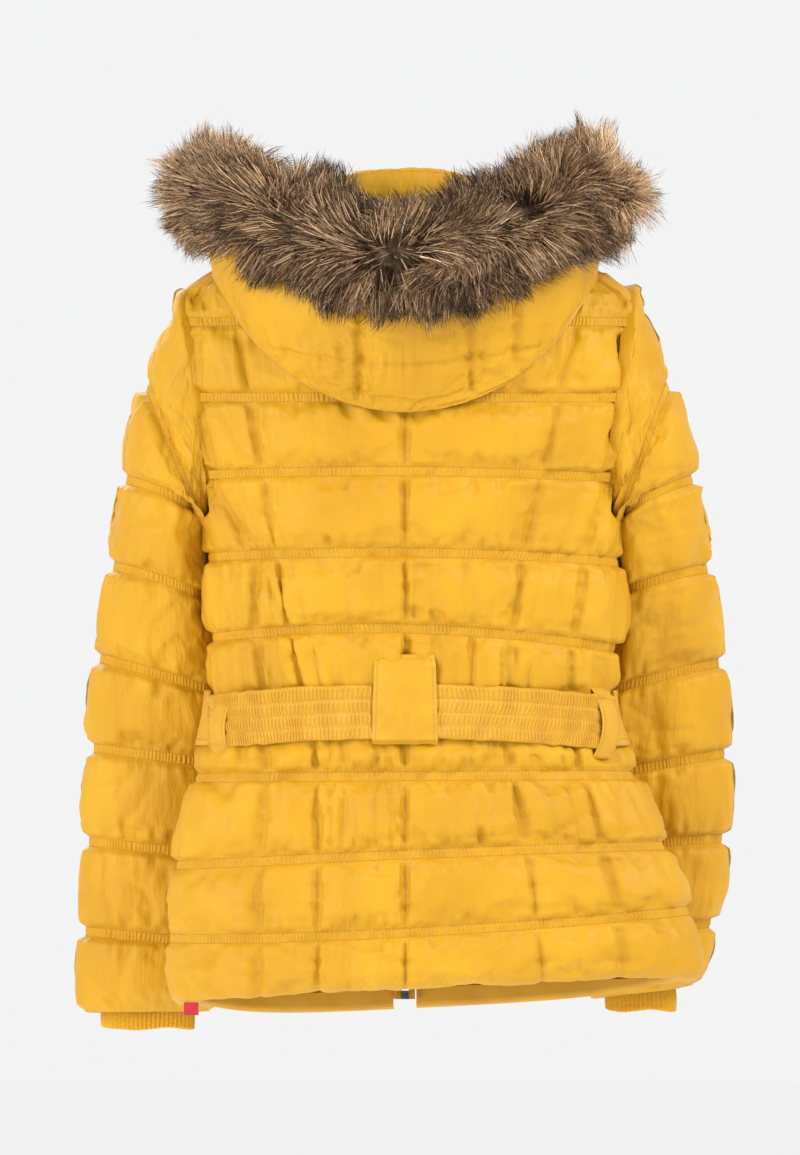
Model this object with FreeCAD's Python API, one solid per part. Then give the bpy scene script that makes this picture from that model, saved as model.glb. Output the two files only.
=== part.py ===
import FreeCAD, Part
import math
import os
from FreeCAD import Vector

# A hip-length quilted jacket with a stand collar, a hood edged with fur and a shirred waist belt, hanging
# as it does on a hanger.  Millimetres.  +Z up, the front faces -Y and the wearer's left is +X.  The origin
# is the middle of the neck opening at the height of the back neck seam.

# --- driving dimensions: body ---
PADDING = 20.0                 # quilted shell and its filling together, on the body
LINING = 2.0
SKIN_GAP = 0.5                 # between a quilted panel and the lining behind it
FRONT_Y = -84.0                # the closed front edge stands plumb in this plane
OUTLINE_POINTS = 20
BACK_POWER = 2.2               # superellipse powers of the body's outline, behind and in front
FRONT_POWER = 2.4

# height, half-width to the left and to the right, depth behind and in front, and how far the surface
# there faces up, from 0 on the upright body to 1 on the shoulder slope
TORSO_LEVELS = [
    (-705, 203, 268, 96, 84, 0.0),
    (-600, 212, 256, 97, 84, 0.0),
    (-500, 195, 218, 87, 84, 0.0),
    (-412, 173, 183, 76, 84, 0.0),
    (-330, 177, 197, 85, 84, 0.0),
    (-240, 186, 193, 95, 84, 0.0),
    (-180, 216, 220, 96, 84, 0.0),
    (-110, 226, 230, 93, 84, 0.0),
    (-60, 210, 213, 86, 83, 0.35),
    (-34, 170, 172, 79, 77, 0.9),
    (-14, 122, 122, 70, 68, 0.95),
    (4, 78, 78, 61, 56, 1.0),
]
HEM_Z = -668.0                 # at the middle; the hem drops to the left and to the front
HEM_SLOPE_X = -0.049
HEM_SLOPE_Y = 0.067
SIDE_SEAM_Y = -6.0
FRONT_PRINCESS_X = 108.0
# the two curved seams on each half of the back, as x at heights going down; 1 is left, -1 right
PRINCESS_SEAM = {
    1: [(150, 40), (148, -75), (137, -145), (119, -250), (101, -356), (80, -445), (77, -568), (77, -760)],
    -1: [(152, 40), (150, -75), (136, -143), (118, -225), (100, -310), (88, -420), (112, -568), (130, -760)],
}
SIDE_BACK_SEAM = {
    1: [(240, 40), (240, -196), (171, -218), (140, -271), (131, -356), (124, -420), (129, -568), (130, -760)],
    -1: [(250, 40), (250, -204), (184, -228), (162, -278), (150, -353), (147, -430), (182, -568), (205, -760)],
}
FACING_HEIGHT = 60.0

# --- collar ---
NECK_HALF_WIDTH = 77.0
NECK_BACK_Y = 62.0
COLLAR_THICKNESS = 16.0
COLLAR_TOP_BACK = 61.0
COLLAR_TOP_FRONT = 12.0
LOOP_STAND_OFF = 8.0
NECK_BOW = 0.0062              # how the neck's inner wall curves away from its middle, per mm squared
NECK_SEAM_BACK = -18.0
NECK_SEAM_FRONT = -52.0

# --- sleeves; 1 is the wearer's left, -1 the right ---
SLEEVE_PADDING = 16.0
SLEEVE_POINTS = 12
SLEEVE_POWER = 2.2
ARMHOLE = {1: ((173.0, -237.0), (196.0, -46.0)), -1: ((182.0, -237.0), (203.0, -42.0))}
ARMHOLE_DEPTH = 53.0
SLEEVE_GAP = 0.8               # between the sleeve and the body it turns against
# inner point (x, z), outer point (x, z), middle y and half-depth, from the armhole down
SLEEVE_SECTIONS = {
    1: [
        (185, -268, 238, -150, -9, 61),
        (180, -305, 259, -268, -31, 57),
        (168, -380, 276, -376, -62, 47),
        (156, -480, 283, -480, -88, 41),
        (158, -580, 288, -580, -104, 39),
        (167, -686, 291, -686, -112, 37),
    ],
    -1: [
        (193, -270, 245, -156, -13, 60),
        (190, -310, 269, -270, -43, 55),
        (175, -384, 284, -380, -72, 47),
        (160, -480, 289, -480, -90, 41),
        (159, -580, 282, -580, -104, 39),
        (159, -674, 264, -664, -112, 37),
    ],
}
# middle x, middle y, half-width, half-depth and lower end of the knitted inner cuff
CUFF = {1: (229.0, -112.0, 41.0, 17.0, -703.0), -1: (210.0, -112.0, 31.0, 16.0, -687.0)}
CUFF_LENGTH = 55.0
CUFF_WALL = 4.5

# --- hood: it lies on the back as a pouch, and its face edge carries the fur ---
HOOD_CENTRE_Y = 30.0
HOOD_RADII = (170.0, 126.0, 150.0)
HOOD_WALL = 7.0
HOOD_GAP = 1.5                 # between the hood and the body it lies on
HOOD_RIM_Z = 8.0
HOOD_SEAM_LEFT = 41.0
HOOD_SEAM_RIGHT = -59.0
HOOD_FRONT_Y = -52.0           # where the hood's panels end beside the neck
HOOD_AXIS_Y = -85.0
HOOD_AXIS_Z = -5.0
HOOD_CLEAR_RADIUS = 165.0
COLLAR_CLEAR_X = 80.0
# half of the fur roll, from the middle of the back to its front end: x, y, z, radius
FUR_SPINE = [
    (0, 155, -13, 42),
    (60, 145, -3, 43),
    (120, 108, 22, 44),
    (165, 50, 39, 46),
    (167, -16, 36, 40),
    (126, -68, 13, 28),
    (84, -94, -2, 17),
]
FUR_RING_POINTS = 8

# --- belt ---
BELT_Z = -425.0
BELT_HEIGHT = 48.0
BELT_THICKNESS = 4.0
BELT_CLEARANCE = 1.0
KEEPER_WIDTH = 54.0
KEEPER_TOP = -381.0
LOOP_X = {1: 160.0, -1: 172.0}
LOOP_WIDTH = 15.0
LOOP_OVERHANG = 6.0
STRAP_TIP_X = 96.0
BUCKLE_BAR_X = 36.0            # the bar that the left strap is sewn round
BUCKLE_TIP_X = -8.0            # the side that the prong rests on
BUCKLE_WIRE = 4.0
BUCKLE_HEIGHT = 60.0
PRONG_SLOT_X = (4.5, 21.0)     # the prong lies at a slant through the strap, so its hole is a slot
PRONG_SLOT_HALF = 2.4
EYELETS_X = (48.0, 66.0)
TIP_LOOP_X = 80.0

# --- front zip ---
ZIP_SLOT = 9.0                 # half-width of the gap between the two front edges
ZIP_TOP = 4.0
ZIP_BOTTOM = -668.0
TOOTH_PITCH = 6.5
TOOTH_THICKNESS = 2.8
TAPE_EDGE_X = 3.4
TAPE_THICKNESS = 1.0
CHAIN_Y = FRONT_Y + 2.0        # middle plane of the teeth
SLIDER_Z = -16.0
SLIDER_PLATE = 1.6
PULL_LENGTH = 30.0
GUARD_TOP = -80.0

# --- pockets ---
POCKET_TOP = (96.0, -486.0)    # x, z of the upper and lower ends of each slanted welt
POCKET_BOTTOM = (136.0, -606.0)
WELT_WIDTH = 22.0


def export(shape, node):
    shape.exportStep("parts/" + node + ".step")


# --- shared forms ---
def oval(turn, wide, deep, power):
    c = math.cos(turn)
    s = math.sin(turn)
    return (math.copysign(abs(c) ** (2.0 / power), c) * wide, math.copysign(abs(s) ** (2.0 / power), s) * deep)


def outline_points(level, offset, count=OUTLINE_POINTS):
    """Points round the body at one level, from the middle of the front by way of the left side."""
    z, left, right, back, front, slope = level
    points = []
    for i in range(count):
        turn = -0.5 * math.pi + 2.0 * math.pi * i / count
        side = left if math.cos(turn) >= 0 else right
        behind = math.sin(turn) >= 0
        depth = back if behind else front
        x, y = oval(turn, side + offset, depth + offset, BACK_POWER if behind else FRONT_POWER)
        points.append(Vector(x, y, z + offset * slope))
    return points


def facet_solid(points, triangles):
    """A closed solid of flat facets; triangles hold places in the list of points."""
    shape = Part.Shape()
    shape.makeShapeFromMesh((points, triangles), 0.01)
    solid = Part.makeSolid(shape)
    if solid.Volume < 0:
        solid.reverse()
    return solid


def loft(rings):
    """A faceted solid through rings of equally many points, with both ends closed."""
    count = len(rings[0])
    points = [point for ring in rings for point in ring]
    triangles = []
    for row in range(len(rings) - 1):
        for i in range(count):
            here = row * count + i
            beside = row * count + (i + 1) % count
            triangles.append((here, beside, beside + count))
            triangles.append((here, beside + count, here + count))
    for ring, first in ((rings[0], 0), (rings[-1], (len(rings) - 1) * count)):
        middle = len(points)
        points.append(sum(ring, Vector(0, 0, 0)) * (1.0 / count))
        for i in range(count):
            pair = (first + i, first + (i + 1) % count)
            triangles.append((middle, pair[1], pair[0]) if first == 0 else (middle, pair[0], pair[1]))
    return facet_solid(points, triangles)


def torso_form(offset):
    return loft([outline_points(level, offset) for level in TORSO_LEVELS])


def box(x0, x1, y0, y1, z0, z1):
    return Part.makeBox(x1 - x0, y1 - y0, z1 - z0, Vector(x0, y0, z0))


def prism(corners, direction):
    """A polygon of Vectors pushed along a direction."""
    wire = Part.makePolygon(list(corners) + [corners[0]])
    return Part.Face(wire).extrude(direction)


def below_hem(extra=0.0):
    """Everything under the sloping hem, or under a line a given height above it."""
    reach = 400.0
    top = []
    for x, y in ((-reach, -reach), (reach, -reach), (reach, reach), (-reach, reach)):
        top.append(Vector(x, y, HEM_Z + extra + HEM_SLOPE_X * x + HEM_SLOPE_Y * y))
    return prism(top, Vector(0, 0, -400))


def neck_column(inset):
    """The upright column that the collar follows."""
    level = (-150.0, NECK_HALF_WIDTH, NECK_HALF_WIDTH, NECK_BACK_Y, -FRONT_Y, 0)
    return prism(outline_points(level, -inset), Vector(0, 0, 300))


def above_line(z_back, z_front):
    """Everything above a plane given by its heights at the back and at the front of the neck."""
    slope = (z_back - z_front) / (NECK_BACK_Y - FRONT_Y)
    near = z_front + slope * (-300.0 - FRONT_Y)
    far = z_front + slope * (300.0 - FRONT_Y)
    corners = [Vector(-300, -300, near), Vector(300, -300, near), Vector(300, 300, far), Vector(-300, 300, far)]
    return prism(corners, Vector(0, 0, 400))


def zip_gap():
    return box(-ZIP_SLOT, ZIP_SLOT, -200, 0, -760, 100)


def armhole_x(side, z):
    (x0, z0), (x1, z1) = ARMHOLE[side]
    return x0 + (x1 - x0) * (z - z0) / (z1 - z0)


def beyond_armhole(side):
    """Everything outboard of an armhole plane and above the armpit."""
    low = -250.0
    high = 40.0
    corners = [
        Vector(side * armhole_x(side, low), -200, low),
        Vector(side * armhole_x(side, high), -200, high),
        Vector(side * 500, -200, high),
        Vector(side * 500, -200, low),
    ]
    return prism(corners, Vector(0, 400, 0))


# --- body ---
def armhole_hole(side):
    """A short oval bar that opens the arm's way into the body."""
    z0 = ARMHOLE[side][0][1]
    z1 = ARMHOLE[side][1][1]
    height = 0.5 * (z1 - z0) - SLEEVE_PADDING
    depth = ARMHOLE_DEPTH - SLEEVE_PADDING
    ring = []
    for i in range(SLEEVE_POINTS):
        y, z = oval(2.0 * math.pi * i / SLEEVE_POINTS, depth, height, SLEEVE_POWER)
        ring.append(Vector(side * 110.0, y, 0.5 * (z0 + z1) + z))
    return prism(ring, Vector(side * 200.0, 0, 0))


def body_shell(outer_offset, inner_offset):
    """The hollow body between two offsets, with hem, neck, front and armholes open."""
    shell = torso_form(outer_offset).cut(torso_form(inner_offset))
    neck = neck_column(0.0).common(above_line(NECK_SEAM_BACK, NECK_SEAM_FRONT))
    cutters = [below_hem(), neck, zip_gap()]
    for side in (1, -1):
        cutters.append(beyond_armhole(side))
        cutters.append(armhole_hole(side))
    for cutter in cutters:
        shell = shell.cut(cutter)
    return shell


def inside_seam(seam, side):
    """Everything on the back that lies between the middle and a curved seam."""
    edge = [Vector(side * x, SIDE_SEAM_Y, z) for x, z in seam]
    middle = [Vector(0, SIDE_SEAM_Y, seam[-1][1]), Vector(0, SIDE_SEAM_Y, seam[0][1])]
    return prism(edge + middle, Vector(0, 400, 0))


def body_panels():
    """Ten quilted panels between the centre back, princess and side seams and the front edges."""
    shell = body_shell(0.0, -PADDING)
    far = 320.0
    for side, word in ((1, "left"), (-1, "right")):
        x0, x1 = sorted((0.0, side * far))
        half = shell.common(box(x0, x1, -far, far, -760, 60))
        back = half.common(box(-far, far, SIDE_SEAM_Y, far, -760, 60))
        princess = inside_seam(PRINCESS_SEAM[side], side)
        side_back = inside_seam(SIDE_BACK_SEAM[side], side)
        export(back.common(princess), "back_centre_" + word)
        export(back.cut(princess).common(side_back), "back_princess_" + word)
        export(back.cut(side_back), "back_side_" + word)
        front = half.common(box(-far, far, -far, SIDE_SEAM_Y, -760, 60))
        middle = box(-FRONT_PRINCESS_X, FRONT_PRINCESS_X, -far, far, -760, 60)
        export(front.common(middle), "front_centre_" + word)
        export(front.cut(middle), "front_side_" + word)


def body_lining():
    """The smooth lining, and the plain facing that closes the hem below it."""
    skin = body_shell(-PADDING - SKIN_GAP, -PADDING - SKIN_GAP - LINING)
    export(skin.cut(below_hem(FACING_HEIGHT)), "body_lining")
    export(skin.common(below_hem(FACING_HEIGHT - 0.5)), "hem_facing")


# --- collar ---
def collar():
    top = above_line(COLLAR_TOP_BACK, COLLAR_TOP_FRONT)
    seat = above_line(NECK_SEAM_BACK, NECK_SEAM_FRONT)
    ring = neck_column(0.0).cut(neck_column(COLLAR_THICKNESS)).common(seat).cut(top).cut(zip_gap())
    export(ring, "collar")
    inner = neck_column(COLLAR_THICKNESS).cut(neck_column(COLLAR_THICKNESS + LINING))
    export(inner.common(seat).cut(top).cut(zip_gap()), "collar_lining")


# --- pieces that follow the body's outline ---
def level_at(z):
    """The body's level at any height between the stated ones."""
    for low, high in zip(TORSO_LEVELS, TORSO_LEVELS[1:]):
        if low[0] <= z <= high[0]:
            share = (z - low[0]) / (high[0] - low[0])
            return tuple(a + (b - a) * share for a, b in zip(low, high))
    raise ValueError("no level at this height")


def outline_point(z, turn, offset):
    return ring_point(level_at(z), turn, offset)


def ring_point(level, turn, offset):
    z, left, right, back, front, slope = level
    side = left if math.cos(turn) >= 0 else right
    behind = math.sin(turn) >= 0
    depth = back if behind else front
    x, y = oval(turn, side + offset, depth + offset, BACK_POWER if behind else FRONT_POWER)
    return Vector(x, y, z)


def turn_at(z, x, behind):
    """The turn round the outline, at a height, where it passes a given x."""
    level = level_at(z)
    side = level[1] if x >= 0 else level[2]
    power = BACK_POWER if behind else FRONT_POWER
    c = math.copysign(min(1.0, abs(x) / side) ** (power / 2.0), x)
    return math.acos(c) if behind else -math.acos(c)


def plate(front, back):
    """A closed solid between two grids of points, rows by columns, of the same size."""
    rows = len(front)
    columns = len(front[0])
    points = [p for row in front for p in row] + [p for row in back for p in row]
    shift = rows * columns
    triangles = []

    def quad(a, b, c, d):
        triangles.append((a, b, c))
        triangles.append((a, c, d))

    for r in range(rows - 1):
        for c in range(columns - 1):
            a = r * columns + c
            quad(a, a + 1, a + columns + 1, a + columns)
            quad(shift + a, shift + a + columns, shift + a + columns + 1, shift + a + 1)
    for c in range(columns - 1):
        top = (rows - 1) * columns + c
        quad(c, shift + c, shift + c + 1, c + 1)
        quad(top, top + 1, shift + top + 1, shift + top)
    for r in range(rows - 1):
        left = r * columns
        right = left + columns - 1
        quad(left, left + columns, shift + left + columns, shift + left)
        quad(right, shift + right, shift + right + columns, right + columns)
    return facet_solid(points, triangles)


def band(x0, x1, behind, heights, offsets, thickness, columns):
    """A strip that lies along the outline between two x, with an offset for each height."""
    inner = []
    outer = []
    for z, offset in zip(heights, offsets):
        t0 = turn_at(z, x0, behind)
        t1 = turn_at(z, x1, behind)
        turns = [t0 + (t1 - t0) * i / columns for i in range(columns + 1)]
        inner.append([outline_point(z, turn, offset) for turn in turns])
        outer.append([outline_point(z, turn, offset + thickness) for turn in turns])
    return plate(outer, inner)


def belt_heights():
    return (BELT_Z - 0.5 * BELT_HEIGHT, BELT_Z + 0.5 * BELT_HEIGHT)


def belt_back():
    """The shirred elastic between the back keeper and each side loop, and the keeper itself."""
    heights = belt_heights()
    offsets = (BELT_CLEARANCE, BELT_CLEARANCE)
    edge = 0.5 * KEEPER_WIDTH - 6.0
    left = band(edge, LOOP_X[1] + 8.0, True, heights, offsets, BELT_THICKNESS, 8)
    right = band(-edge, -LOOP_X[-1] - 8.0, True, heights, offsets, BELT_THICKNESS, 8)
    export(left, "belt_elastic_left")
    export(right, "belt_elastic_right")
    over = BELT_CLEARANCE + BELT_THICKNESS + 0.5
    rows = (heights[0] - 4.0, heights[0] - 1.0, heights[1] + 1.0, KEEPER_TOP)
    lifts = (1.0, over, over, 1.0)
    export(band(-0.5 * KEEPER_WIDTH, 0.5 * KEEPER_WIDTH, True, rows, lifts, 2.0, 4), "back_belt_keeper")


def belt_loops():
    heights = belt_heights()
    over = BELT_CLEARANCE + BELT_THICKNESS + 0.5
    rows = (heights[0] - LOOP_OVERHANG, heights[0] - 1.0, heights[1] + 1.0, heights[1] + LOOP_OVERHANG)
    lifts = (1.0, over, over, 1.0)
    for side, name in ((1, "belt_loop_left"), (-1, "belt_loop_right")):
        near = side * (LOOP_X[side] - 0.5 * LOOP_WIDTH)
        far = side * (LOOP_X[side] + 0.5 * LOOP_WIDTH)
        export(band(near, far, True, rows, lifts, 1.5, 2), name)


def wrap_turns(side, front_x, z):
    """Turns from the elastic's end, past the side, to a place on the front."""
    start = turn_at(z, side * (LOOP_X[side] + 8.5), True)
    finish = turn_at(z, side * front_x, False)
    if side < 0:
        finish += 2.0 * math.pi
    return [start + (finish - start) * i / 12 for i in range(13)]


def wrapped_strap(side, front_x):
    """The plain strap from the elastic's end to a place on the front."""
    inner = []
    outer = []
    for z in belt_heights():
        turns = wrap_turns(side, front_x, z)
        inner.append([outline_point(z, turn, BELT_CLEARANCE) for turn in turns])
        outer.append([outline_point(z, turn, BELT_CLEARANCE + BELT_THICKNESS) for turn in turns])
    return plate(outer, inner)


def strip_along_front(route, thickness, z0, z1):
    """A strap whose inner face follows (x, y) points across the front, pushed along Z."""
    outer = [Vector(x, y - thickness, z0) for x, y in route]
    inner = [Vector(x, y, z0) for x, y in route]
    return prism(inner + outer[::-1], Vector(0, 0, z1 - z0))


def front_straps():
    """The left strap, folded round the buckle's bar, and the right strap, threaded through it."""
    z0, z1 = belt_heights()
    inner_y = FRONT_Y - BELT_CLEARANCE
    outer_y = inner_y - BELT_THICKNESS
    bar_y = outer_y - 0.5 - 0.5 * BUCKLE_WIRE
    fold_in = bar_y - 0.5 * BUCKLE_WIRE - 0.5
    fold_out = fold_in - 2.0
    edge = BUCKLE_BAR_X - 0.5 * BUCKLE_WIRE - 0.5
    left = strip_along_front([(edge - 2.0, inner_y), (64.0, inner_y)], BELT_THICKNESS, z0, z1)
    notch = 7.0
    for low, high in ((z0, BELT_Z - notch), (BELT_Z + notch, z1)):
        wall = box(edge - 2.0, edge, fold_out, outer_y, low, high)
        flap = box(edge - 2.0, 62.0, fold_out, fold_in, low, high)
        left = left.fuse(wall).fuse(flap)
    hem = box(58.0, 62.0, fold_out, outer_y, z0, z1)
    export(left.fuse(hem).removeSplitter(), "belt_front_left")
    export(wrapped_strap(1, 64.5), "belt_side_left")
    over = fold_out - 0.6
    route = [(-40.0, inner_y), (-4.0, inner_y), (28.0, over), (STRAP_TIP_X - 10.0, over)]
    right = strip_along_front(route, BELT_THICKNESS, z0, z1)
    tip = [
        Vector(STRAP_TIP_X - 10.0, over, z0),
        Vector(STRAP_TIP_X, over, BELT_Z - 8.0),
        Vector(STRAP_TIP_X, over, BELT_Z + 8.0),
        Vector(STRAP_TIP_X - 10.0, over, z1),
    ]
    right = right.fuse(prism(tip, Vector(0, -BELT_THICKNESS, 0)))
    slot_low, slot_high = (BELT_Z - PRONG_SLOT_HALF, BELT_Z + PRONG_SLOT_HALF)
    slot = box(PRONG_SLOT_X[0], PRONG_SLOT_X[1], -130.0, -80.0, slot_low, slot_high)
    for hole in [slot] + [hole_bar(x, 3.0, -130.0, 40.0) for x in EYELETS_X]:
        right = right.cut(hole)
    export(right.removeSplitter(), "belt_front_right")
    export(wrapped_strap(-1, 40.5), "belt_side_right")
    rings = []
    for x in EYELETS_X:
        ring = hole_bar(x, 5.2, over - BELT_THICKNESS - 0.8, 0.8)
        rings.append(ring.cut(hole_bar(x, 3.0, -130.0, 60.0)))
    export(Part.makeCompound(rings), "belt_eyelets")
    slide_in = inner_y + 0.7
    slide_out = over - BELT_THICKNESS - 0.4
    outer = box(TIP_LOOP_X - 5.0, TIP_LOOP_X + 5.0, slide_out - 1.6, slide_in, z0 - 2.0, z1 + 2.0)
    hollow = box(TIP_LOOP_X - 6.0, TIP_LOOP_X + 6.0, slide_out, inner_y + 0.1, z0 - 0.5, z1 + 0.5)
    export(outer.cut(hollow), "belt_tip_loop")
    buckle(bar_y, outer_y)


def hole_bar(x, radius, y, length):
    """A round bar along Y, with ten sides."""
    ring = []
    for i in range(10):
        turn = 2.0 * math.pi * i / 10
        ring.append(Vector(x + radius * math.cos(turn), y, BELT_Z + radius * math.sin(turn)))
    return prism(ring, Vector(0, length, 0))


def buckle(bar_y, strap_y):
    """A rounded frame whose far side the prong rests on, and the prong on the frame's bar."""
    half = 0.5 * BUCKLE_WIRE
    low = BELT_Z - 0.5 * BUCKLE_HEIGHT
    high = BELT_Z + 0.5 * BUCKLE_HEIGHT
    back = strap_y - 0.5
    front = back - BUCKLE_WIRE
    outer = rounded_frame(BUCKLE_TIP_X - half, BUCKLE_BAR_X + half, low, high, 7.0, front, back)
    window = rounded_frame(BUCKLE_TIP_X + half, BUCKLE_BAR_X - half, low + 5.0, high - 5.0, 1.2, front - 1, back + 1)
    export(outer.cut(window), "buckle_frame")
    eye = box(BUCKLE_BAR_X - 4.0, BUCKLE_BAR_X + 4.0, bar_y - 4.0, bar_y + 2.4, BELT_Z - 3.0, BELT_Z + 3.0)
    bore = box(BUCKLE_BAR_X - 2.1, BUCKLE_BAR_X + 2.1, bar_y - 2.1, bar_y + 2.1, BELT_Z - 4, BELT_Z + 4)
    rest_y = front - 0.3
    arm = [
        Vector(BUCKLE_BAR_X - 3.9, bar_y - 1.2, BELT_Z - 1.7),
        Vector(BUCKLE_BAR_X - 3.9, bar_y + 1.2, BELT_Z - 1.7),
        Vector(BUCKLE_TIP_X - 3.0, rest_y, BELT_Z - 1.7),
        Vector(BUCKLE_TIP_X - 3.0, rest_y - 2.2, BELT_Z - 1.7),
    ]
    prong = eye.cut(bore).fuse(prism(arm, Vector(0, 0, 3.4)))
    export(prong.removeSplitter(), "buckle_prong")


def rounded_frame(x0, x1, z0, z1, radius, y0, y1):
    """A block across the front with its four corners cut round."""
    ring = []
    corners = ((x1, z1, 0), (x0, z1, 90), (x0, z0, 180), (x1, z0, 270))
    for x, z, start in corners:
        cx = x - math.copysign(radius, x - 0.5 * (x0 + x1))
        cz = z - math.copysign(radius, z - 0.5 * (z0 + z1))
        for i in range(4):
            turn = math.radians(start + 30 * i)
            ring.append(Vector(cx + radius * math.cos(turn), y0, cz + radius * math.sin(turn)))
    return prism(ring, Vector(0, y1 - y0, 0))


# --- sleeves ---
def sleeve_ring(section, side, inset):
    x_in, z_in, x_out, z_out, y_mid, depth = section
    inner = Vector(side * x_in, y_mid, z_in)
    outer = Vector(side * x_out, y_mid, z_out)
    middle = (inner + outer) * 0.5
    long_way = outer - inner
    reach = 0.5 * long_way.Length - inset
    long_way.normalize()
    ring = []
    for i in range(SLEEVE_POINTS):
        along, deep = oval(2.0 * math.pi * i / SLEEVE_POINTS, reach, depth - inset, SLEEVE_POWER)
        ring.append(middle + long_way * along + Vector(0, side * deep, 0))
    return ring


def sleeve_sections(side):
    """All sections of a sleeve; the first lies on the armhole."""
    (_, z0), (_, z1) = ARMHOLE[side]
    first = (armhole_x(side, z0) + SLEEVE_GAP, z0, armhole_x(side, z1) + SLEEVE_GAP, z1, 0, ARMHOLE_DEPTH)
    return [first] + SLEEVE_SECTIONS[side]


def tube(outer_rings, inner_rings):
    """A pipe between two sets of rings, open through its middle."""
    count = len(outer_rings[0])
    rows = len(outer_rings)
    points = [p for ring in outer_rings for p in ring] + [p for ring in inner_rings for p in ring]
    shift = rows * count
    triangles = []

    def quad(a, b, c, d):
        triangles.append((a, b, c))
        triangles.append((a, c, d))

    last = (rows - 1) * count
    for i in range(count):
        j = (i + 1) % count
        for r in range(rows - 1):
            here = r * count
            quad(here + i, here + j, here + count + j, here + count + i)
            quad(shift + here + i, shift + here + count + i, shift + here + count + j, shift + here + j)
        quad(i, shift + i, shift + j, j)
        quad(last + i, last + j, shift + last + j, shift + last + i)
    return facet_solid(points, triangles)


def cuff_ring(side, z, inset):
    x, y, wide, deep, _ = CUFF[side]
    ring = []
    for i in range(SLEEVE_POINTS):
        along, across = oval(2.0 * math.pi * i / SLEEVE_POINTS, wide - inset, deep - inset, SLEEVE_POWER)
        ring.append(Vector(side * (x + along), y + side * across, z))
    return ring


def sleeve(side, word):
    sections = sleeve_sections(side)
    shell = tube([sleeve_ring(s, side, 0.0) for s in sections], [sleeve_ring(s, side, SLEEVE_PADDING) for s in sections])
    shell = shell.cut(torso_form(SLEEVE_GAP).cut(beyond_armhole(side)))
    mid_x = [0.5 * (s[0] + s[2]) for s in sections]
    mid_z = [0.5 * (s[1] + s[3]) for s in sections]
    seam = [Vector(side * x, -300, z) for x, z in zip(mid_x, mid_z)]
    seam[0] = Vector(side * 120.0, -300, mid_z[0] + 10.0)
    seam[-1] = Vector(side * mid_x[-1], -300, -760.0)
    under = prism(seam + [Vector(side * 100.0, -300, -760.0)], Vector(0, 600, 0))
    export(shell.cut(under), "sleeve_" + word + "_top")
    export(shell.common(under), "sleeve_" + word + "_under")
    skin = SLEEVE_PADDING + SKIN_GAP
    outer = [sleeve_ring(s, side, skin) for s in sections[:-1]]
    inner = [sleeve_ring(s, side, skin + LINING) for s in sections[:-1]]
    cuff_top = CUFF[side][4] + CUFF_LENGTH
    outer.append(cuff_ring(side, cuff_top + 0.5, 0.0))
    inner.append(cuff_ring(side, cuff_top + 0.5, LINING))
    export(tube(outer, inner), "sleeve_" + word + "_lining")
    levels = (cuff_top, CUFF[side][4] + 0.5 * CUFF_LENGTH, CUFF[side][4])
    outer = [cuff_ring(side, z, 0.0) for z in levels]
    inner = [cuff_ring(side, z, CUFF_WALL) for z in levels]
    export(tube(outer, inner), "cuff_" + word)


# --- hood ---
def hood_form(inset):
    """The lower half of an egg, a little over half full."""
    rx, ry, rz = (r - inset for r in HOOD_RADII)
    top = math.asin(HOOD_RIM_Z / rz)
    rings = []
    for i in range(8):
        rise = math.radians(-82) + (top - math.radians(-82)) * i / 7
        z = rz * math.sin(rise)
        ring = []
        for k in range(20):
            turn = 2.0 * math.pi * k / 20
            x = rx * math.cos(rise) * math.cos(turn)
            ring.append(Vector(x, HOOD_CENTRE_Y + ry * math.cos(rise) * math.sin(turn), z))
        rings.append(ring)
    return loft(rings)


def body_with_neck(offset):
    """The body and the upright collar, swollen by an offset."""
    level = (-20.0, NECK_HALF_WIDTH + offset, NECK_HALF_WIDTH + offset, NECK_BACK_Y + offset, 56.0 + offset, 0)
    return torso_form(offset).fuse(prism(outline_points(level, 0.0), Vector(0, 0, 120)))


def collar_sweep():
    """The room that the hood leaves round its axis, so that it swings up clear of the collar."""
    ring = []
    radius = HOOD_CLEAR_RADIUS / math.cos(math.pi / 48)
    for i in range(48):
        turn = 2.0 * math.pi * i / 48
        y = HOOD_AXIS_Y + radius * math.cos(turn)
        ring.append(Vector(-COLLAR_CLEAR_X, y, HOOD_AXIS_Z + radius * math.sin(turn)))
    return prism(ring, Vector(2.0 * COLLAR_CLEAR_X, 0, 0))


def fur_roll():
    """The fur's outer shape: round sections along a path from one front end to the other."""
    half = [(Vector(x, y, z), r) for x, y, z, r in FUR_SPINE]
    path = [(Vector(-p.x, p.y, p.z), r) for p, r in half[:0:-1]] + half
    rings = []
    for i, (middle, radius) in enumerate(path):
        ahead = path[min(i + 1, len(path) - 1)][0]
        behind = path[max(i - 1, 0)][0]
        along = (ahead - behind).normalize()
        across = along.cross(Vector(0, 0, 1)).normalize()
        up = across.cross(along)
        ring = []
        for k in range(FUR_RING_POINTS):
            turn = 2.0 * math.pi * k / FUR_RING_POINTS
            ring.append(middle + across * (radius * math.cos(turn)) + up * (radius * math.sin(turn)))
        rings.append(ring)
    return loft(rings)


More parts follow.
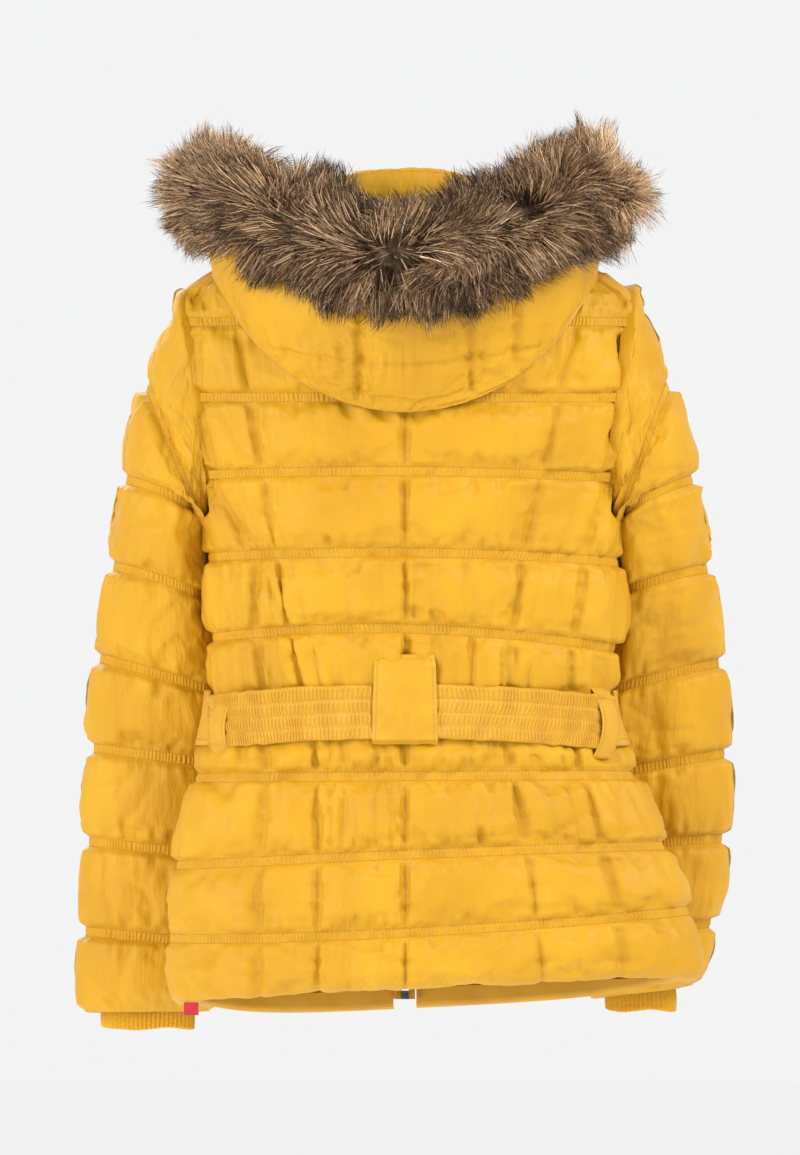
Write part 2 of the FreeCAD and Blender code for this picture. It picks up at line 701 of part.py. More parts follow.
def hood():
    near_body = body_with_neck(HOOD_GAP)
    inside = body_with_neck(HOOD_GAP + HOOD_WALL)
    sweep = collar_sweep().fuse(box(-400, 400, -400, HOOD_FRONT_Y, -400, 0))
    whole = hood_form(0.0).cut(near_body)
    hollow = hood_form(HOOD_WALL).cut(inside)
    shell = whole.cut(hollow).cut(sweep)
    far = 400.0
    cuts = {
        "hood_left_panel": (HOOD_SEAM_LEFT, far),
        "hood_centre_panel": (HOOD_SEAM_RIGHT, HOOD_SEAM_LEFT),
        "hood_right_panel": (-far, HOOD_SEAM_RIGHT),
    }
    for name, (x0, x1) in cuts.items():
        export(shell.common(box(x0, x1, -far, far, -far, far)), name)
    outer = hood_form(HOOD_WALL + SKIN_GAP).cut(body_with_neck(HOOD_GAP + HOOD_WALL + SKIN_GAP))
    inset = HOOD_WALL + SKIN_GAP + 1.5
    inner = hood_form(inset).cut(body_with_neck(HOOD_GAP + inset))
    lining = outer.cut(inner).cut(sweep)
    export(lining, "hood_lining")
    fur = fur_roll().cut(whole.cut(hood_form(HOOD_WALL + SKIN_GAP + 2.0)))
    fur = fur.cut(body_with_neck(HOOD_GAP + inset + 0.5)).cut(sweep)
    export(fur, "fur_trim")


# --- front zip ---
def tooth(side, z):
    """One moulded tooth: a broad root on the tape, a waist, and a head that locks past the middle."""
    profile = ((TAPE_EDGE_X, 1.3), (1.1, 0.85), (-0.4, 1.25), (-1.5, 0.6))
    upper = [Vector(side * x, CHAIN_Y - 0.5 * TOOTH_THICKNESS, z + w) for x, w in profile]
    lower = [Vector(side * x, CHAIN_Y - 0.5 * TOOTH_THICKNESS, z - w) for x, w in profile]
    return prism(upper + lower[::-1], Vector(0, TOOTH_THICKNESS, 0))


def zip_chain():
    """Two tapes, the rows of teeth on their edges, the stops at the top and the box at the bottom."""
    count = int((ZIP_TOP - 4.0 - ZIP_BOTTOM) / TOOTH_PITCH)
    for side, name, start in ((1, "zip_teeth_left", 0.0), (-1, "zip_teeth_right", 0.5 * TOOTH_PITCH)):
        row = [tooth(side, ZIP_BOTTOM + 2.0 + start + TOOTH_PITCH * i) for i in range(count)]
        export(Part.makeCompound(row), name)
    tapes = []
    for side in (1, -1):
        x0, x1 = sorted((side * TAPE_EDGE_X, side * ZIP_SLOT))
        half = 0.5 * TAPE_THICKNESS
        tapes.append(box(x0, x1, CHAIN_Y - half, CHAIN_Y + half, ZIP_BOTTOM - 8.0, ZIP_TOP))
    export(Part.makeCompound(tapes), "zip_tapes")
    stops = []
    for side in (1, -1):
        x0, x1 = sorted((side * 0.6, side * TAPE_EDGE_X))
        stops.append(box(x0, x1, CHAIN_Y - 1.6, CHAIN_Y + 1.6, ZIP_TOP - 3.0, ZIP_TOP))
    export(Part.makeCompound(stops), "zip_top_stops")
    low = ZIP_BOTTOM - 8.0
    body = box(-TAPE_EDGE_X, TAPE_EDGE_X, CHAIN_Y - 2.4, CHAIN_Y + 2.4, low, low + 7.5)
    pin_hole = box(-0.4, 0.4, CHAIN_Y - 3.0, CHAIN_Y - 1.6, low + 1.0, low + 8.0)
    export(body.cut(pin_hole), "zip_bottom_box")


def slider_outline(z, y, depth):
    """The slider's waisted plate, broad at its top where the two rows would come in."""
    half = ((-8.5, 4.6), (-3.0, 4.9), (1.5, 6.2), (5.5, 6.8), (8.0, 5.6), (8.6, 3.0))
    right = [Vector(x, y, z + up) for up, x in half]
    left = [Vector(-x, y, z + up) for up, x in half]
    return prism(right + left[::-1], Vector(0, depth, 0))


def zip_slider():
    """Two plates with turned-in edges run on the teeth, and the pull hangs from an arch on the front."""
    gap = 0.5 * TOOTH_THICKNESS + 0.4
    front = slider_outline(SLIDER_Z, CHAIN_Y - gap - SLIDER_PLATE, SLIDER_PLATE)
    back = slider_outline(SLIDER_Z, CHAIN_Y + gap, SLIDER_PLATE)
    flange_gap = 0.5 * TAPE_THICKNESS + 0.4
    for side in (1, -1):
        x0, x1 = sorted((side * 4.0, side * 4.9))
        rail = box(x0, x1, CHAIN_Y - gap, CHAIN_Y - flange_gap, SLIDER_Z - 8.0, SLIDER_Z + 5.0)
        front = front.fuse(rail)
        rail = box(x0, x1, CHAIN_Y + flange_gap, CHAIN_Y + gap, SLIDER_Z - 8.0, SLIDER_Z + 5.0)
        back = back.fuse(rail)
    face = CHAIN_Y - gap - SLIDER_PLATE
    arch = box(-1.4, 1.4, face - 4.5, face, SLIDER_Z - 4.6, SLIDER_Z + 4.6)
    window = box(-2.0, 2.0, face - 3.2, face, SLIDER_Z - 3.1, SLIDER_Z + 3.1)
    front = front.fuse(arch.cut(window))
    export(Part.makeCompound([front.removeSplitter(), back.removeSplitter()]), "zip_slider")
    pull_y = face - 1.6
    bar = box(-3.8, 3.8, pull_y - 0.8, pull_y + 0.8, SLIDER_Z - 0.8, SLIDER_Z + 0.8)
    outline = [(-3.8, -0.5), (-3.0, -9.0), (-3.4, -26.0), (-2.2, -PULL_LENGTH)]
    ring = [Vector(x, pull_y - 0.8, SLIDER_Z + z) for x, z in outline]
    ring += [Vector(-x, pull_y - 0.8, SLIDER_Z + z) for x, z in outline[::-1]]
    tab = prism(ring, Vector(0, 1.6, 0))
    eye = box(-2.2, 2.2, pull_y - 2.0, pull_y + 2.0, SLIDER_Z - 8.0, SLIDER_Z)
    slot = box(-1.4, 1.4, pull_y - 2.0, pull_y + 2.0, SLIDER_Z - 26.0, SLIDER_Z - 13.0)
    export(tab.cut(eye).cut(slot).fuse(bar).removeSplitter(), "zip_pull")


def placket_guard():
    """The wind guard behind the zip, clear of the lining's slight curve."""
    face = FRONT_Y + PADDING + SKIN_GAP + LINING + 3.0
    export(box(-10.0, 34.0, face, face + 2.0, -660.0, GUARD_TOP), "placket_guard")


# --- pockets, loop and label ---
def hang_loop():
    """A tape sewn at its two ends to the inside of the neck, standing off for a peg in between."""
    wall = NECK_BACK_Y - COLLAR_THICKNESS - LINING
    near = []
    away = []
    for z in (-4.0, 4.0):
        front = []
        back = []
        for i in range(9):
            x = -30.0 + 7.5 * i
            sag = LOOP_STAND_OFF * math.cos(math.pi * x / 60.0)
            bow = NECK_BOW * x * x + sag
            front.append(Vector(x, wall - 2.0 - bow, z))
            back.append(Vector(x, wall - 0.8 - bow, z))
        near.append(front)
        away.append(back)
    export(plate(near, away), "hang_loop")


def front_point(x, z, offset):
    level = level_at(z)
    side = (level[1] if x >= 0 else level[2]) + offset
    y = -(level[4] + offset) * (1.0 - (abs(x) / side) ** FRONT_POWER) ** (1.0 / FRONT_POWER)
    return Vector(x, y, z)


def pockets():
    """A slanted welt on each front, and the pocket bag that hangs inside behind it."""
    for side, word in ((1, "left"), (-1, "right")):
        outer = []
        inner = []
        for i in range(7):
            share = i / 6.0
            x = POCKET_BOTTOM[0] + (POCKET_TOP[0] - POCKET_BOTTOM[0]) * share
            z = POCKET_BOTTOM[1] + (POCKET_TOP[1] - POCKET_BOTTOM[1]) * share
            across = [x - 0.5 * WELT_WIDTH, x, x + 0.5 * WELT_WIDTH]
            outer.append([front_point(side * k, z, 3.5) for k in across])
            inner.append([front_point(side * k, z, 0.6) for k in across])
        export(plate(outer, inner), "pocket_welt_" + word)
        skin = PADDING + SKIN_GAP + LINING
        outer = []
        inner = []
        for z in (-645.0, -610.0, -540.0, -475.0):
            across = [40.0, 70.0, 100.0, 125.0]
            outer.append([front_point(side * k, z, -skin - 2.6) for k in across])
            inner.append([front_point(side * k, z, -skin - 5.6) for k in across])
        export(plate(outer, inner), "pocket_bag_" + word)


def side_label():
    """A small blank tab sewn into the hem near the left side seam."""
    z = HEM_Z + HEM_SLOPE_X * 188.0 + HEM_SLOPE_Y * 30.0
    export(box(182.0, 195.0, 29.6, 30.4, z - 12.0, z - 0.8), "side_label")


if __name__ == "__main__":
    os.makedirs("parts", exist_ok=True)
    body_panels()
    body_lining()
    collar()
    hang_loop()
    zip_chain()
    zip_slider()
    placket_guard()
    pockets()
    side_label()
    belt_back()
    belt_loops()
    front_straps()
    sleeve(1, "left")
    sleeve(-1, "right")
    hood()
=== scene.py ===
import math

import bpy
import numpy as np
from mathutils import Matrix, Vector


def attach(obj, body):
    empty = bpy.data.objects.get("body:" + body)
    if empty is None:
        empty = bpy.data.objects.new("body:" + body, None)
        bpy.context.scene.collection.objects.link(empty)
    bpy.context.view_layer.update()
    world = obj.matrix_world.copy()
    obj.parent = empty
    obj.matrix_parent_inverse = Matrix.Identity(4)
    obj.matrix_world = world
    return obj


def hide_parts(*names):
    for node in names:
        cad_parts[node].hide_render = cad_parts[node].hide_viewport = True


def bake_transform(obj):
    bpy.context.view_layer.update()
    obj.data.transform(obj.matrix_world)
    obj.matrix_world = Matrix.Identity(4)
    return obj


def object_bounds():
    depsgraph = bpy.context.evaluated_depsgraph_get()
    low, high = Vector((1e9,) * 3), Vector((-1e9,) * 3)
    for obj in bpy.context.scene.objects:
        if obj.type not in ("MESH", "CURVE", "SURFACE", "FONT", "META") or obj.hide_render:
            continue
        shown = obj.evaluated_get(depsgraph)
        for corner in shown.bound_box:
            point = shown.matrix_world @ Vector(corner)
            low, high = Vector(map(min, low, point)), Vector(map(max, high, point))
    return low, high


# A hip-length quilted jacket, seen from behind as it hangs: every quilted panel is a grid of points laid
# over the frame's own surface, puffed between its stitch rows by a cloth simulation, with gathered
# tunnels, stitches, a shirred belt, ribbed cuffs and a fur-edged hood.  Metres; +Z up, front faces -Y.

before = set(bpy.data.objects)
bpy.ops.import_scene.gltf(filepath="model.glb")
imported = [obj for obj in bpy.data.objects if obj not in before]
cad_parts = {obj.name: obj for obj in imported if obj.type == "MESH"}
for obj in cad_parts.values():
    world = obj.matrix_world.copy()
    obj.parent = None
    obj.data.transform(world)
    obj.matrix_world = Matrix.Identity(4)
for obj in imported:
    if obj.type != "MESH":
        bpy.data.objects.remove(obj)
CAD_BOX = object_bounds()
MM = 0.001

# --- the body's form, as the frame has it (millimetres) ---
# height, half-width left and right, depth behind and in front
TORSO = np.array([
    (-705, 203, 268, 96, 84), (-600, 212, 256, 97, 84), (-500, 195, 218, 87, 84), (-412, 173, 183, 76, 84),
    (-330, 177, 197, 85, 84), (-240, 186, 193, 95, 84), (-180, 216, 220, 96, 84), (-110, 226, 230, 93, 84),
    (-60, 210, 213, 86, 83), (-34, 170, 172, 79, 77), (-14, 122, 122, 70, 68), (4, 78, 78, 61, 56),
], float)
BACK_POWER, FRONT_POWER = 2.2, 2.4
HEM_Z, HEM_SLOPE_X, HEM_SLOPE_Y = -668.0, -0.049, 0.067
PRINCESS = {
    1: [(150, 40), (148, -75), (137, -145), (119, -250), (101, -356), (80, -445), (77, -568), (77, -760)],
    -1: [(152, 40), (150, -75), (136, -143), (118, -225), (100, -310), (88, -420), (112, -568), (130, -760)],
}
SIDE_BACK = {
    1: [(186, 40), (173, -196), (168, -218), (140, -271), (131, -356), (124, -420), (129, -568), (130, -760)],
    -1: [(192, 40), (184, -190), (178, -212), (162, -278), (150, -353), (147, -430), (182, -568),
         (205, -760)],
}
FRONT_PRINCESS, FRONT_EDGE, SIDE_SEAM_Y = 108.0, 9.0, -6.0
ARMHOLE = {1: ((173, -237), (196, -46)), -1: ((182, -237), (203, -42))}
ARMHOLE_DEPTH = 53.0
ARMHOLE_OPEN = 0.8             # share of the armhole's oval that is open behind the sleeve's seam

# quilting rows down the body: height at the left edge, the middle and the right edge of the back
BODY_ROWS = [
    (-75, -75, -75), (-143, -143, -143), (-214, -208, -216), (-285, -280, -288), (-358, -347, -367),
    (-425, -425, -425), (-477, -475, -474), (-554, -544, -537), (-620, -613, -599),
]
ROW_EDGE_X = 200.0
CELL_STEP = 5.0                # spacing of the simulated grid
TUNNEL = 8.0                   # height of the gathered tunnel between the two needles of a row
SINK = 5.5                     # how far the stitched rows lie below the padded surface
PANEL_COLUMNS = (20, 20, 13, 9, 21, 23, 9, 15, 20, 20)   # grid columns of the body's ten panels
BODY_PUFF, UNDER_BELT = 8.0, 4.0                         # rise of a panel, and how much less under the belt
GATHERS, SEAM_GATHERS, SEAM_VALLEY = 3.0, 1.4, 2.4       # heights of the small folds, all in millimetres
CREASES, BROAD_FOLDS, WAIST_FOLDS, WAIST_RISE = 4.6, 3.2, 3.6, 1.6

# --- sleeves (millimetres): inner x, z, outer x, z, middle y, half-depth, from the armhole down ---
SLEEVE = {
    1: [(185, -268, 238, -150, -9, 61), (180, -305, 259, -268, -31, 57), (168, -380, 276, -376, -62, 47),
        (156, -480, 283, -480, -88, 41), (158, -580, 288, -580, -104, 39), (167, -686, 291, -686, -112, 37)],
    -1: [(193, -270, 245, -156, -13, 60), (190, -310, 269, -270, -43, 55), (175, -384, 284, -380, -72, 47),
         (160, -480, 289, -480, -90, 41), (159, -580, 282, -580, -104, 39), (159, -674, 264, -664, -112, 37)],
}
# the quilting rows of a sleeve: height at the outer edge and how far the row drops per mm inwards
SLEEVE_ROWS = {
    1: [(-131, .54), (-214, .36), (-291, .33), (-373, .30), (-453, .14), (-536, .11), (-616, .09)],
    -1: [(-131, .56), (-214, .42), (-293, .28), (-377, .26), (-458, .18), (-534, .05), (-610, .05)],
}
CUFF = {1: (229, -112, 41, 17, -703), -1: (210, -112, 31, 16, -687)}
CUFF_TOP = 55.0
SLEEVE_COLUMNS = 66
SLEEVE_SEAMS = (25, 49)        # columns of the sleeve's two lengthwise seams
SLEEVE_PUFF, SLEEVE_GATHERS, SLEEVE_FOLDS, SLEEVE_CREASES = 8.5, 2.6, 2.4, 1.6
SLEEVE_LEAN = 9.0              # how far a sleeve leans in on the body above the waist

# --- hood, fur and collar (millimetres) ---
HOOD_CENTRE, HOOD_RADII, HOOD_RIM = 30.0, (172.0, 126.0, 186.0), 8.0
HOOD_SEAMS = (41.0, -59.0)
HOOD_GATHER_X, HOOD_GATHER_Z = -98.0, -116.0
FUR_SPINE = [
    (0, 152, -18, 46), (60, 143, -8, 46), (120, 108, 20, 46), (165, 50, 39, 46), (167, -16, 36, 40),
    (126, -68, 13, 28), (84, -94, -2, 17),
]
NECK = (77.0, 62.0, 84.0)      # half-width, depth behind, depth in front
COLLAR_TOP, NECK_SEAM = (61.0, 12.0), (-18.0, -52.0)

# --- belt (millimetres) ---
BELT_Z, BELT_HEIGHT = -425.0, 48.0
LOOP_X = {1: 160.0, -1: 172.0}
LOOP_LEAN = {1: 8.0, -1: 1.0}  # how much nearer the middle a loop's top is than its bottom
LOOP_HALF, STRAP_THICK = 7.5, 1.6
SIDE_STRAP_END = {1: 64.5, -1: 40.5}   # where a side strap meets the front strap
KEEPER_HALF, KEEPER_TOP = 27.0, -381.0


# ------------------------------------------------------------------ shapes
def smooth(x, xs, ys):
    """A smooth curve through rising xs, read at x."""
    xs, ys = np.asarray(xs, float), np.asarray(ys, float)
    slope = np.gradient(ys, xs)
    i = np.clip(np.searchsorted(xs, x) - 1, 0, len(xs) - 2)
    h = xs[i + 1] - xs[i]
    t = np.clip((x - xs[i]) / h, 0, 1)
    a, b = 2 * t**3 - 3 * t**2 + 1, t**3 - 2 * t**2 + t
    return a * ys[i] + b * h * slope[i] + (1 - a) * ys[i + 1] + (t**3 - t**2) * h * slope[i + 1]


def ease(low, high, x):
    """0 below low, 1 above high, and smooth between."""
    t = np.clip((x - low) / (high - low), 0, 1)
    return t * t * (3 - 2 * t)


def oval(turn, wide, deep, power):
    c, s = np.cos(turn), np.sin(turn)
    x = np.sign(c) * np.abs(c) ** (2 / power) * wide
    return x, np.sign(s) * np.abs(s) ** (2 / power) * deep


def torso_size(z):
    return [smooth(z, TORSO[:, 0], TORSO[:, k]) for k in (1, 2, 3, 4)]


def torso_xy(z, turn, offset=0.0):
    left, right, back, front = torso_size(z)
    wide = np.where(np.cos(turn) >= 0, left, right) + offset
    bx, by = oval(turn, wide, back + offset, BACK_POWER)
    fx, fy = oval(turn, wide, front + offset, FRONT_POWER)
    behind = np.sin(turn) >= 0
    return np.where(behind, bx, fx), np.where(behind, by, fy)


def turn_at(z, x, behind):
    left, right, _, _ = torso_size(z)
    side = np.where(np.asarray(x) >= 0, left, right)
    power = BACK_POWER if behind else FRONT_POWER
    turn = np.arccos(np.sign(x) * np.minimum(1.0, np.abs(x) / side) ** (power / 2))
    return turn if behind else -turn


def seam_x(points, z):
    xs, zs = zip(*points[::-1])
    return smooth(z, zs, xs)


def armhole_x(side, z):
    (x0, z0), (x1, z1) = ARMHOLE[side]
    return x0 + (x1 - x0) * (z - z0) / (z1 - z0)


def depth_inside(p, offset):
    """1 on the body's surface, swollen by an offset, less inside it and more outside it."""
    left, right, back, front = torso_size(p[..., 2])
    x, y = np.abs(p[..., 0]), np.abs(p[..., 1])
    side = np.where(p[..., 0] >= 0, left, right) + offset
    behind = p[..., 1] >= 0
    power = np.where(behind, BACK_POWER, FRONT_POWER)
    deep = np.where(behind, back, front) + offset
    return ((x / side) ** power + (y / deep) ** power) ** (1 / power)


def keep_outside(p, offset):
    """Points inside the swollen body are moved out to its surface."""
    share = np.maximum(depth_inside(p, offset), 0.05)
    grow = np.where((share < 1) & (p[..., 2] < TORSO[-1, 0]), 1 / share, 1.0)
    out = p.copy()
    out[..., 0] *= grow
    out[..., 1] *= grow
    return out


def normals_of(grid, closed=False):
    """Outward unit normals of a grid of points: rows go down, columns go from the front by the left side."""
    if closed:
        across = np.roll(grid, -1, 1) - np.roll(grid, 1, 1)
    else:
        across = np.gradient(grid, axis=1)
    down = np.gradient(grid, axis=0)
    n = np.cross(across, down)
    return -n / np.maximum(np.linalg.norm(n, axis=2, keepdims=True), 1e-9)


def walked(points):
    """Length walked along a line of points, from 0."""
    return np.concatenate([[0], np.cumsum(np.linalg.norm(np.diff(points, axis=0), axis=1))])


def read_at(where, walk, points):
    """The points of a line at given walked lengths."""
    return np.stack([np.interp(where, walk, column) for column in points.T], 1)


def girth(grid):
    """Mean length walked along the rows, at each point of a grid."""
    steps = np.linalg.norm(np.diff(grid, axis=1, prepend=grid[:, :1]), axis=2)
    return np.cumsum(steps.mean(0))[None, :] * np.ones(grid.shape[:2])


def valley(distance, half_width):
    """A narrow dip, 1 at no distance and gone at about twice its half-width."""
    return np.exp(-((distance / half_width) ** 2))


def clear_of_body(p, side, offset):
    """A sleeve's points that reach into the body below the armhole are moved out to its surface."""
    below = ease(0, 25, ARMHOLE[side][0][1] - p[..., 2])
    share = np.maximum(below, ease(0, 3, armhole_x(side, p[..., 2]) - side * p[..., 0]))
    return p + (keep_outside(p, offset) - p) * share[..., None]


def finer(grid, times, closed=False):
    """The grid with more rows and columns, on smooth curves through its points."""
    def along(values, wrap):
        n = len(values)
        at = np.arange((n if wrap else n - 1) * times + (0 if wrap else 1)) / times
        i = np.minimum(at.astype(int), n - 1 if wrap else n - 2)
        t = (at - i).reshape((-1,) + (1,) * (values.ndim - 1))
        pick = (lambda k: values[(i + k) % n]) if wrap else (lambda k: values[np.clip(i + k, 0, n - 1)])
        a, b, c, d = pick(-1), pick(0), pick(1), pick(2)
        return b + 0.5 * t * (c - a + t * (2 * a - 5 * b + 4 * c - d + t * (3 * (b - c) + d - a)))

    return along(along(grid, False).swapaxes(0, 1), closed).swapaxes(0, 1)


def smooth_noise(u, v, seed, octaves=1):
    """A smooth random field from -1 to 1, with features about one unit across."""
    total, weight = 0.0, 0.0
    for octave in range(octaves):
        rng = np.random.default_rng(seed * 31 + octave)
        lattice = rng.uniform(-1, 1, (64, 64))
        x, y = u * 2**octave, v * 2**octave
        i, j = np.floor(x).astype(int), np.floor(y).astype(int)
        s, t = x - i, y - j
        s, t = s * s * (3 - 2 * s), t * t * (3 - 2 * t)
        low = lattice[i % 64, j % 64] * (1 - s) + lattice[(i + 1) % 64, j % 64] * s
        high = lattice[i % 64, (j + 1) % 64] * (1 - s) + lattice[(i + 1) % 64, (j + 1) % 64] * s
        total = total + (low * (1 - t) + high * t) / 2**octave
        weight += 1 / 2**octave
    return total / weight


# ------------------------------------------------------------------ meshes
def mesh_object(name, points, faces, uv=None, soft=True):
    """points in millimetres; faces as an array of corners; uv per point, in metres."""
    mesh = bpy.data.meshes.new(name)
    mesh.from_pydata((np.asarray(points) * MM).tolist(), [], np.asarray(faces).tolist())
    if uv is not None:
        layer = mesh.uv_layers.new(name="UVMap")
        corners = np.empty(len(mesh.loops), int)
        mesh.loops.foreach_get("vertex_index", corners)
        layer.data.foreach_set("uv", np.asarray(uv, float)[corners].ravel())
    if soft:
        mesh.polygons.foreach_set("use_smooth", np.ones(len(mesh.polygons), bool))
    mesh.update()
    made = bpy.data.objects.new(name, mesh)
    bpy.context.scene.collection.objects.link(made)
    return made


def grid_faces(rows, columns, closed=False, keep=None, flip=False):
    r, c = np.meshgrid(np.arange(rows - 1), np.arange(columns if closed else columns - 1), indexing="ij")
    d = (c + 1) % columns
    faces = np.stack([r * columns + c, (r + 1) * columns + c, (r + 1) * columns + d, r * columns + d], -1)
    if keep is not None:
        here = keep[r, c] | keep[r + 1, c] | keep[r + 1, d] | keep[r, d]
        faces = faces[here]
    faces = faces.reshape(-1, 4)
    return faces[:, ::-1] if flip else faces


def grid_uv(grid):
    """Lengths along the rows and down the columns, in metres."""
    across = np.linalg.norm(np.diff(grid, axis=1), axis=2).mean(0)
    down = np.linalg.norm(np.diff(grid, axis=0), axis=2).mean(1)
    u = np.concatenate([[0], np.cumsum(across)]) * MM
    v = np.concatenate([[0], np.cumsum(down)]) * MM
    return np.stack(np.meshgrid(u, -v), -1).reshape(-1, 2)


def cloth_piece(name, grid, closed=False, keep=None, flip=False):
    faces = grid_faces(*grid.shape[:2], closed, keep, flip)
    return mesh_object(name, grid.reshape(-1, 3), faces, grid_uv(grid))


def slab(name, outer, inner):
    """A closed strip between two grids of the same size."""
    rows, columns = outer.shape[:2]
    count = rows * columns
    faces = [grid_faces(rows, columns), grid_faces(rows, columns, flip=True) + count]
    rim = np.concatenate([
        np.arange(columns), np.arange(1, rows) * columns + columns - 1,
        (rows - 1) * columns + np.arange(columns - 2, -1, -1), np.arange(rows - 2, 0, -1) * columns,
    ])
    ahead = np.roll(rim, -1)
    faces.append(np.stack([rim, ahead, ahead + count, rim + count], -1))
    uv = np.concatenate([grid_uv(outer), grid_uv(outer)])
    points = np.concatenate([outer.reshape(-1, 3), inner.reshape(-1, 3)])
    return mesh_object(name, points, np.concatenate(faces), uv)


def puffed(grid, hold, slack, closed=False, frames=22, pressure=2.6):
    """The grid after a cloth simulation: hold is 1 where it is sewn down, and slack is its spare cloth."""
    rows, columns = grid.shape[:2]
    made = mesh_object("cloth", grid.reshape(-1, 3), grid_faces(rows, columns, closed))
    pins = made.vertex_groups.new(name="sewn")
    loose = made.vertex_groups.new(name="slack")
    for weight in np.unique(hold.round(2)):
        if weight > 0:
            pins.add(np.flatnonzero(hold.round(2).ravel() == weight).tolist(), float(weight), "REPLACE")
    for weight in np.unique(slack.round(1)):
        loose.add(np.flatnonzero(slack.round(1).ravel() == weight).tolist(), float(weight), "REPLACE")
    cloth = made.modifiers.new("Cloth", "CLOTH")
    s = cloth.settings
    s.quality = 5
    s.mass = 0.15
    s.tension_stiffness = s.compression_stiffness = 18
    s.shear_stiffness = 4
    s.bending_stiffness = 0.12
    s.air_damping = 4
    s.vertex_group_mass = "sewn"
    s.pin_stiffness = 4
    s.vertex_group_shrink = "slack"
    s.shrink_min, s.shrink_max = -0.03, -0.2
    s.use_pressure = True
    s.uniform_pressure_force = pressure
    s.effector_weights.gravity = 0
    cloth.collision_settings.use_collision = False
    cloth.point_cache.frame_start, cloth.point_cache.frame_end = 1, frames
    for step in range(1, frames + 1):
        bpy.context.scene.frame_set(step)
    shape = made.evaluated_get(bpy.context.evaluated_depsgraph_get()).to_mesh()
    out = np.empty(rows * columns * 3, np.float32)
    shape.vertices.foreach_get("co", out)
    bpy.data.objects.remove(made)
    bpy.context.scene.frame_set(1)
    return out.reshape(rows, columns, 3).astype(float) / MM


def capped(shape, base, normal, low, high):
    """Keeps the shape between two heights over the base, and near it sideways."""
    move = shape - base
    rise = (move * normal).sum(2, keepdims=True)
    aside = move - rise * normal
    far = np.linalg.norm(aside, axis=2, keepdims=True)
    aside = aside * np.minimum(1, 5.0 / np.maximum(far, 1e-6))
    return base + aside + normal * np.clip(rise, low, high)


# ------------------------------------------------------------------ materials
def material(name, colour, rough, **sockets):
    made = bpy.data.materials.new(name)
    made.use_nodes = True
    shader = made.node_tree.nodes["Principled BSDF"]
    shader.inputs["Base Color"].default_value = (*colour, 1)
    shader.inputs["Roughness"].default_value = rough
    for socket, value in sockets.items():
        shader.inputs[socket.replace("_", " ")].default_value = value
    made.diffuse_color = (*colour, 1)
    return made


def node(made, kind, **values):
    n = made.node_tree.nodes.new("ShaderNode" + kind)
    for key, value in values.items():
        if key in n.inputs:
            n.inputs[key].default_value = value
        else:
            setattr(n, key, value)
    return n


def coordinates(made, scale, source="UV"):
    """Texture coordinates stretched by a scale in features per metre."""
    where = node(made, "TexCoord")
    stretch = node(made, "Mapping", Scale=scale)
    made.node_tree.links.new(where.outputs[source], stretch.inputs["Vector"])
    return stretch.outputs["Vector"]


def mottled(made, first, second, scale, source):
    """A base colour that drifts between two colours."""
    link = made.node_tree.links.new
    noise = node(made, "TexNoise", Scale=1.0, Detail=3.0)
    link(coordinates(made, scale, source), noise.inputs["Vector"])
    ramp = node(made, "ValToRGB")
    for stop, place, colour in zip(ramp.color_ramp.elements, (0.35, 0.65), (first, second)):
        stop.position, stop.color = place, (*colour, 1)
    link(noise.outputs["Fac"], ramp.inputs["Fac"])
    link(ramp.outputs["Color"], made.node_tree.nodes["Principled BSDF"].inputs["Base Color"])


def bumped(made, layers, source):
    """Stacked noise bumps: each layer is (scale in features per metre, height in millimetres, detail)."""
    link = made.node_tree.links.new
    above = made.node_tree.nodes["Principled BSDF"].inputs["Normal"]
    for scale, height, detail in reversed(layers):
        noise = node(made, "TexNoise", Scale=1.0, Detail=detail)
        link(coordinates(made, scale, source), noise.inputs["Vector"])
        bump = node(made, "Bump", Strength=1.0, Distance=height * MM)
        link(noise.outputs["Fac"], bump.inputs["Height"])
        link(bump.outputs["Normal"], above)
        above = bump.inputs["Normal"]


def finish(name, first, second, drift, rough, bumps=(), source="UV", **sockets):
    """A material that drifts from one colour to another, with bumps on its surface."""
    made = material(name, second, rough, **sockets)
    mottled(made, first, second, drift, source)
    bumped(made, bumps, source)
    return made


YELLOW_DEEP, YELLOW = (0.525, 0.258, 0.0035), (0.590, 0.304, 0.0055)
WEAVE = (1500, 1500, 1500)
shell = finish(
    "shell_nylon", YELLOW_DEEP, YELLOW, (14, 9, 9), 0.56,
    [((52, 17, 17), 3.4, 4.0), ((170, 45, 45), 0.8, 3.0), (WEAVE, 0.05, 1.0)],
    Specular_IOR_Level=0.32, Sheen_Weight=0.04, Sheen_Roughness=0.4)
plain = finish(
    "shell_nylon_plain", YELLOW_DEEP, YELLOW, (25, 25, 25), 0.46,
    [((60, 60, 60), 0.5, 3.0), (WEAVE, 0.06, 1.0)], Specular_IOR_Level=0.4, Sheen_Weight=0.1)
shirred = finish(
    "shirred_elastic", YELLOW_DEEP, YELLOW, (60, 30, 30), 0.44,
    [((500, 120, 120), 0.15, 2.0), (WEAVE, 0.05, 1.0)], Specular_IOR_Level=0.4, Sheen_Weight=0.1)
thread = finish(
    "thread", (0.48, 0.24, 0.008), (0.60, 0.31, 0.012), (600, 600, 600), 0.6,
    source="Object", Sheen_Weight=0.1)
knit = finish(
    "rib_knit", (0.54, 0.27, 0.010), (0.63, 0.33, 0.014), (300, 500, 300), 0.78,
    [((700, 500, 500), 0.3, 2.0)], Specular_IOR_Level=0.25, Sheen_Weight=0.1)
lining_cloth = finish(
    "lining", (0.50, 0.26, 0.02), (0.56, 0.30, 0.025), (20, 20, 20), 0.5,
    [((40, 18, 18), 1.0, 3.0), ((1200, 1200, 1200), 0.05, 1.0)], Specular_IOR_Level=0.4)
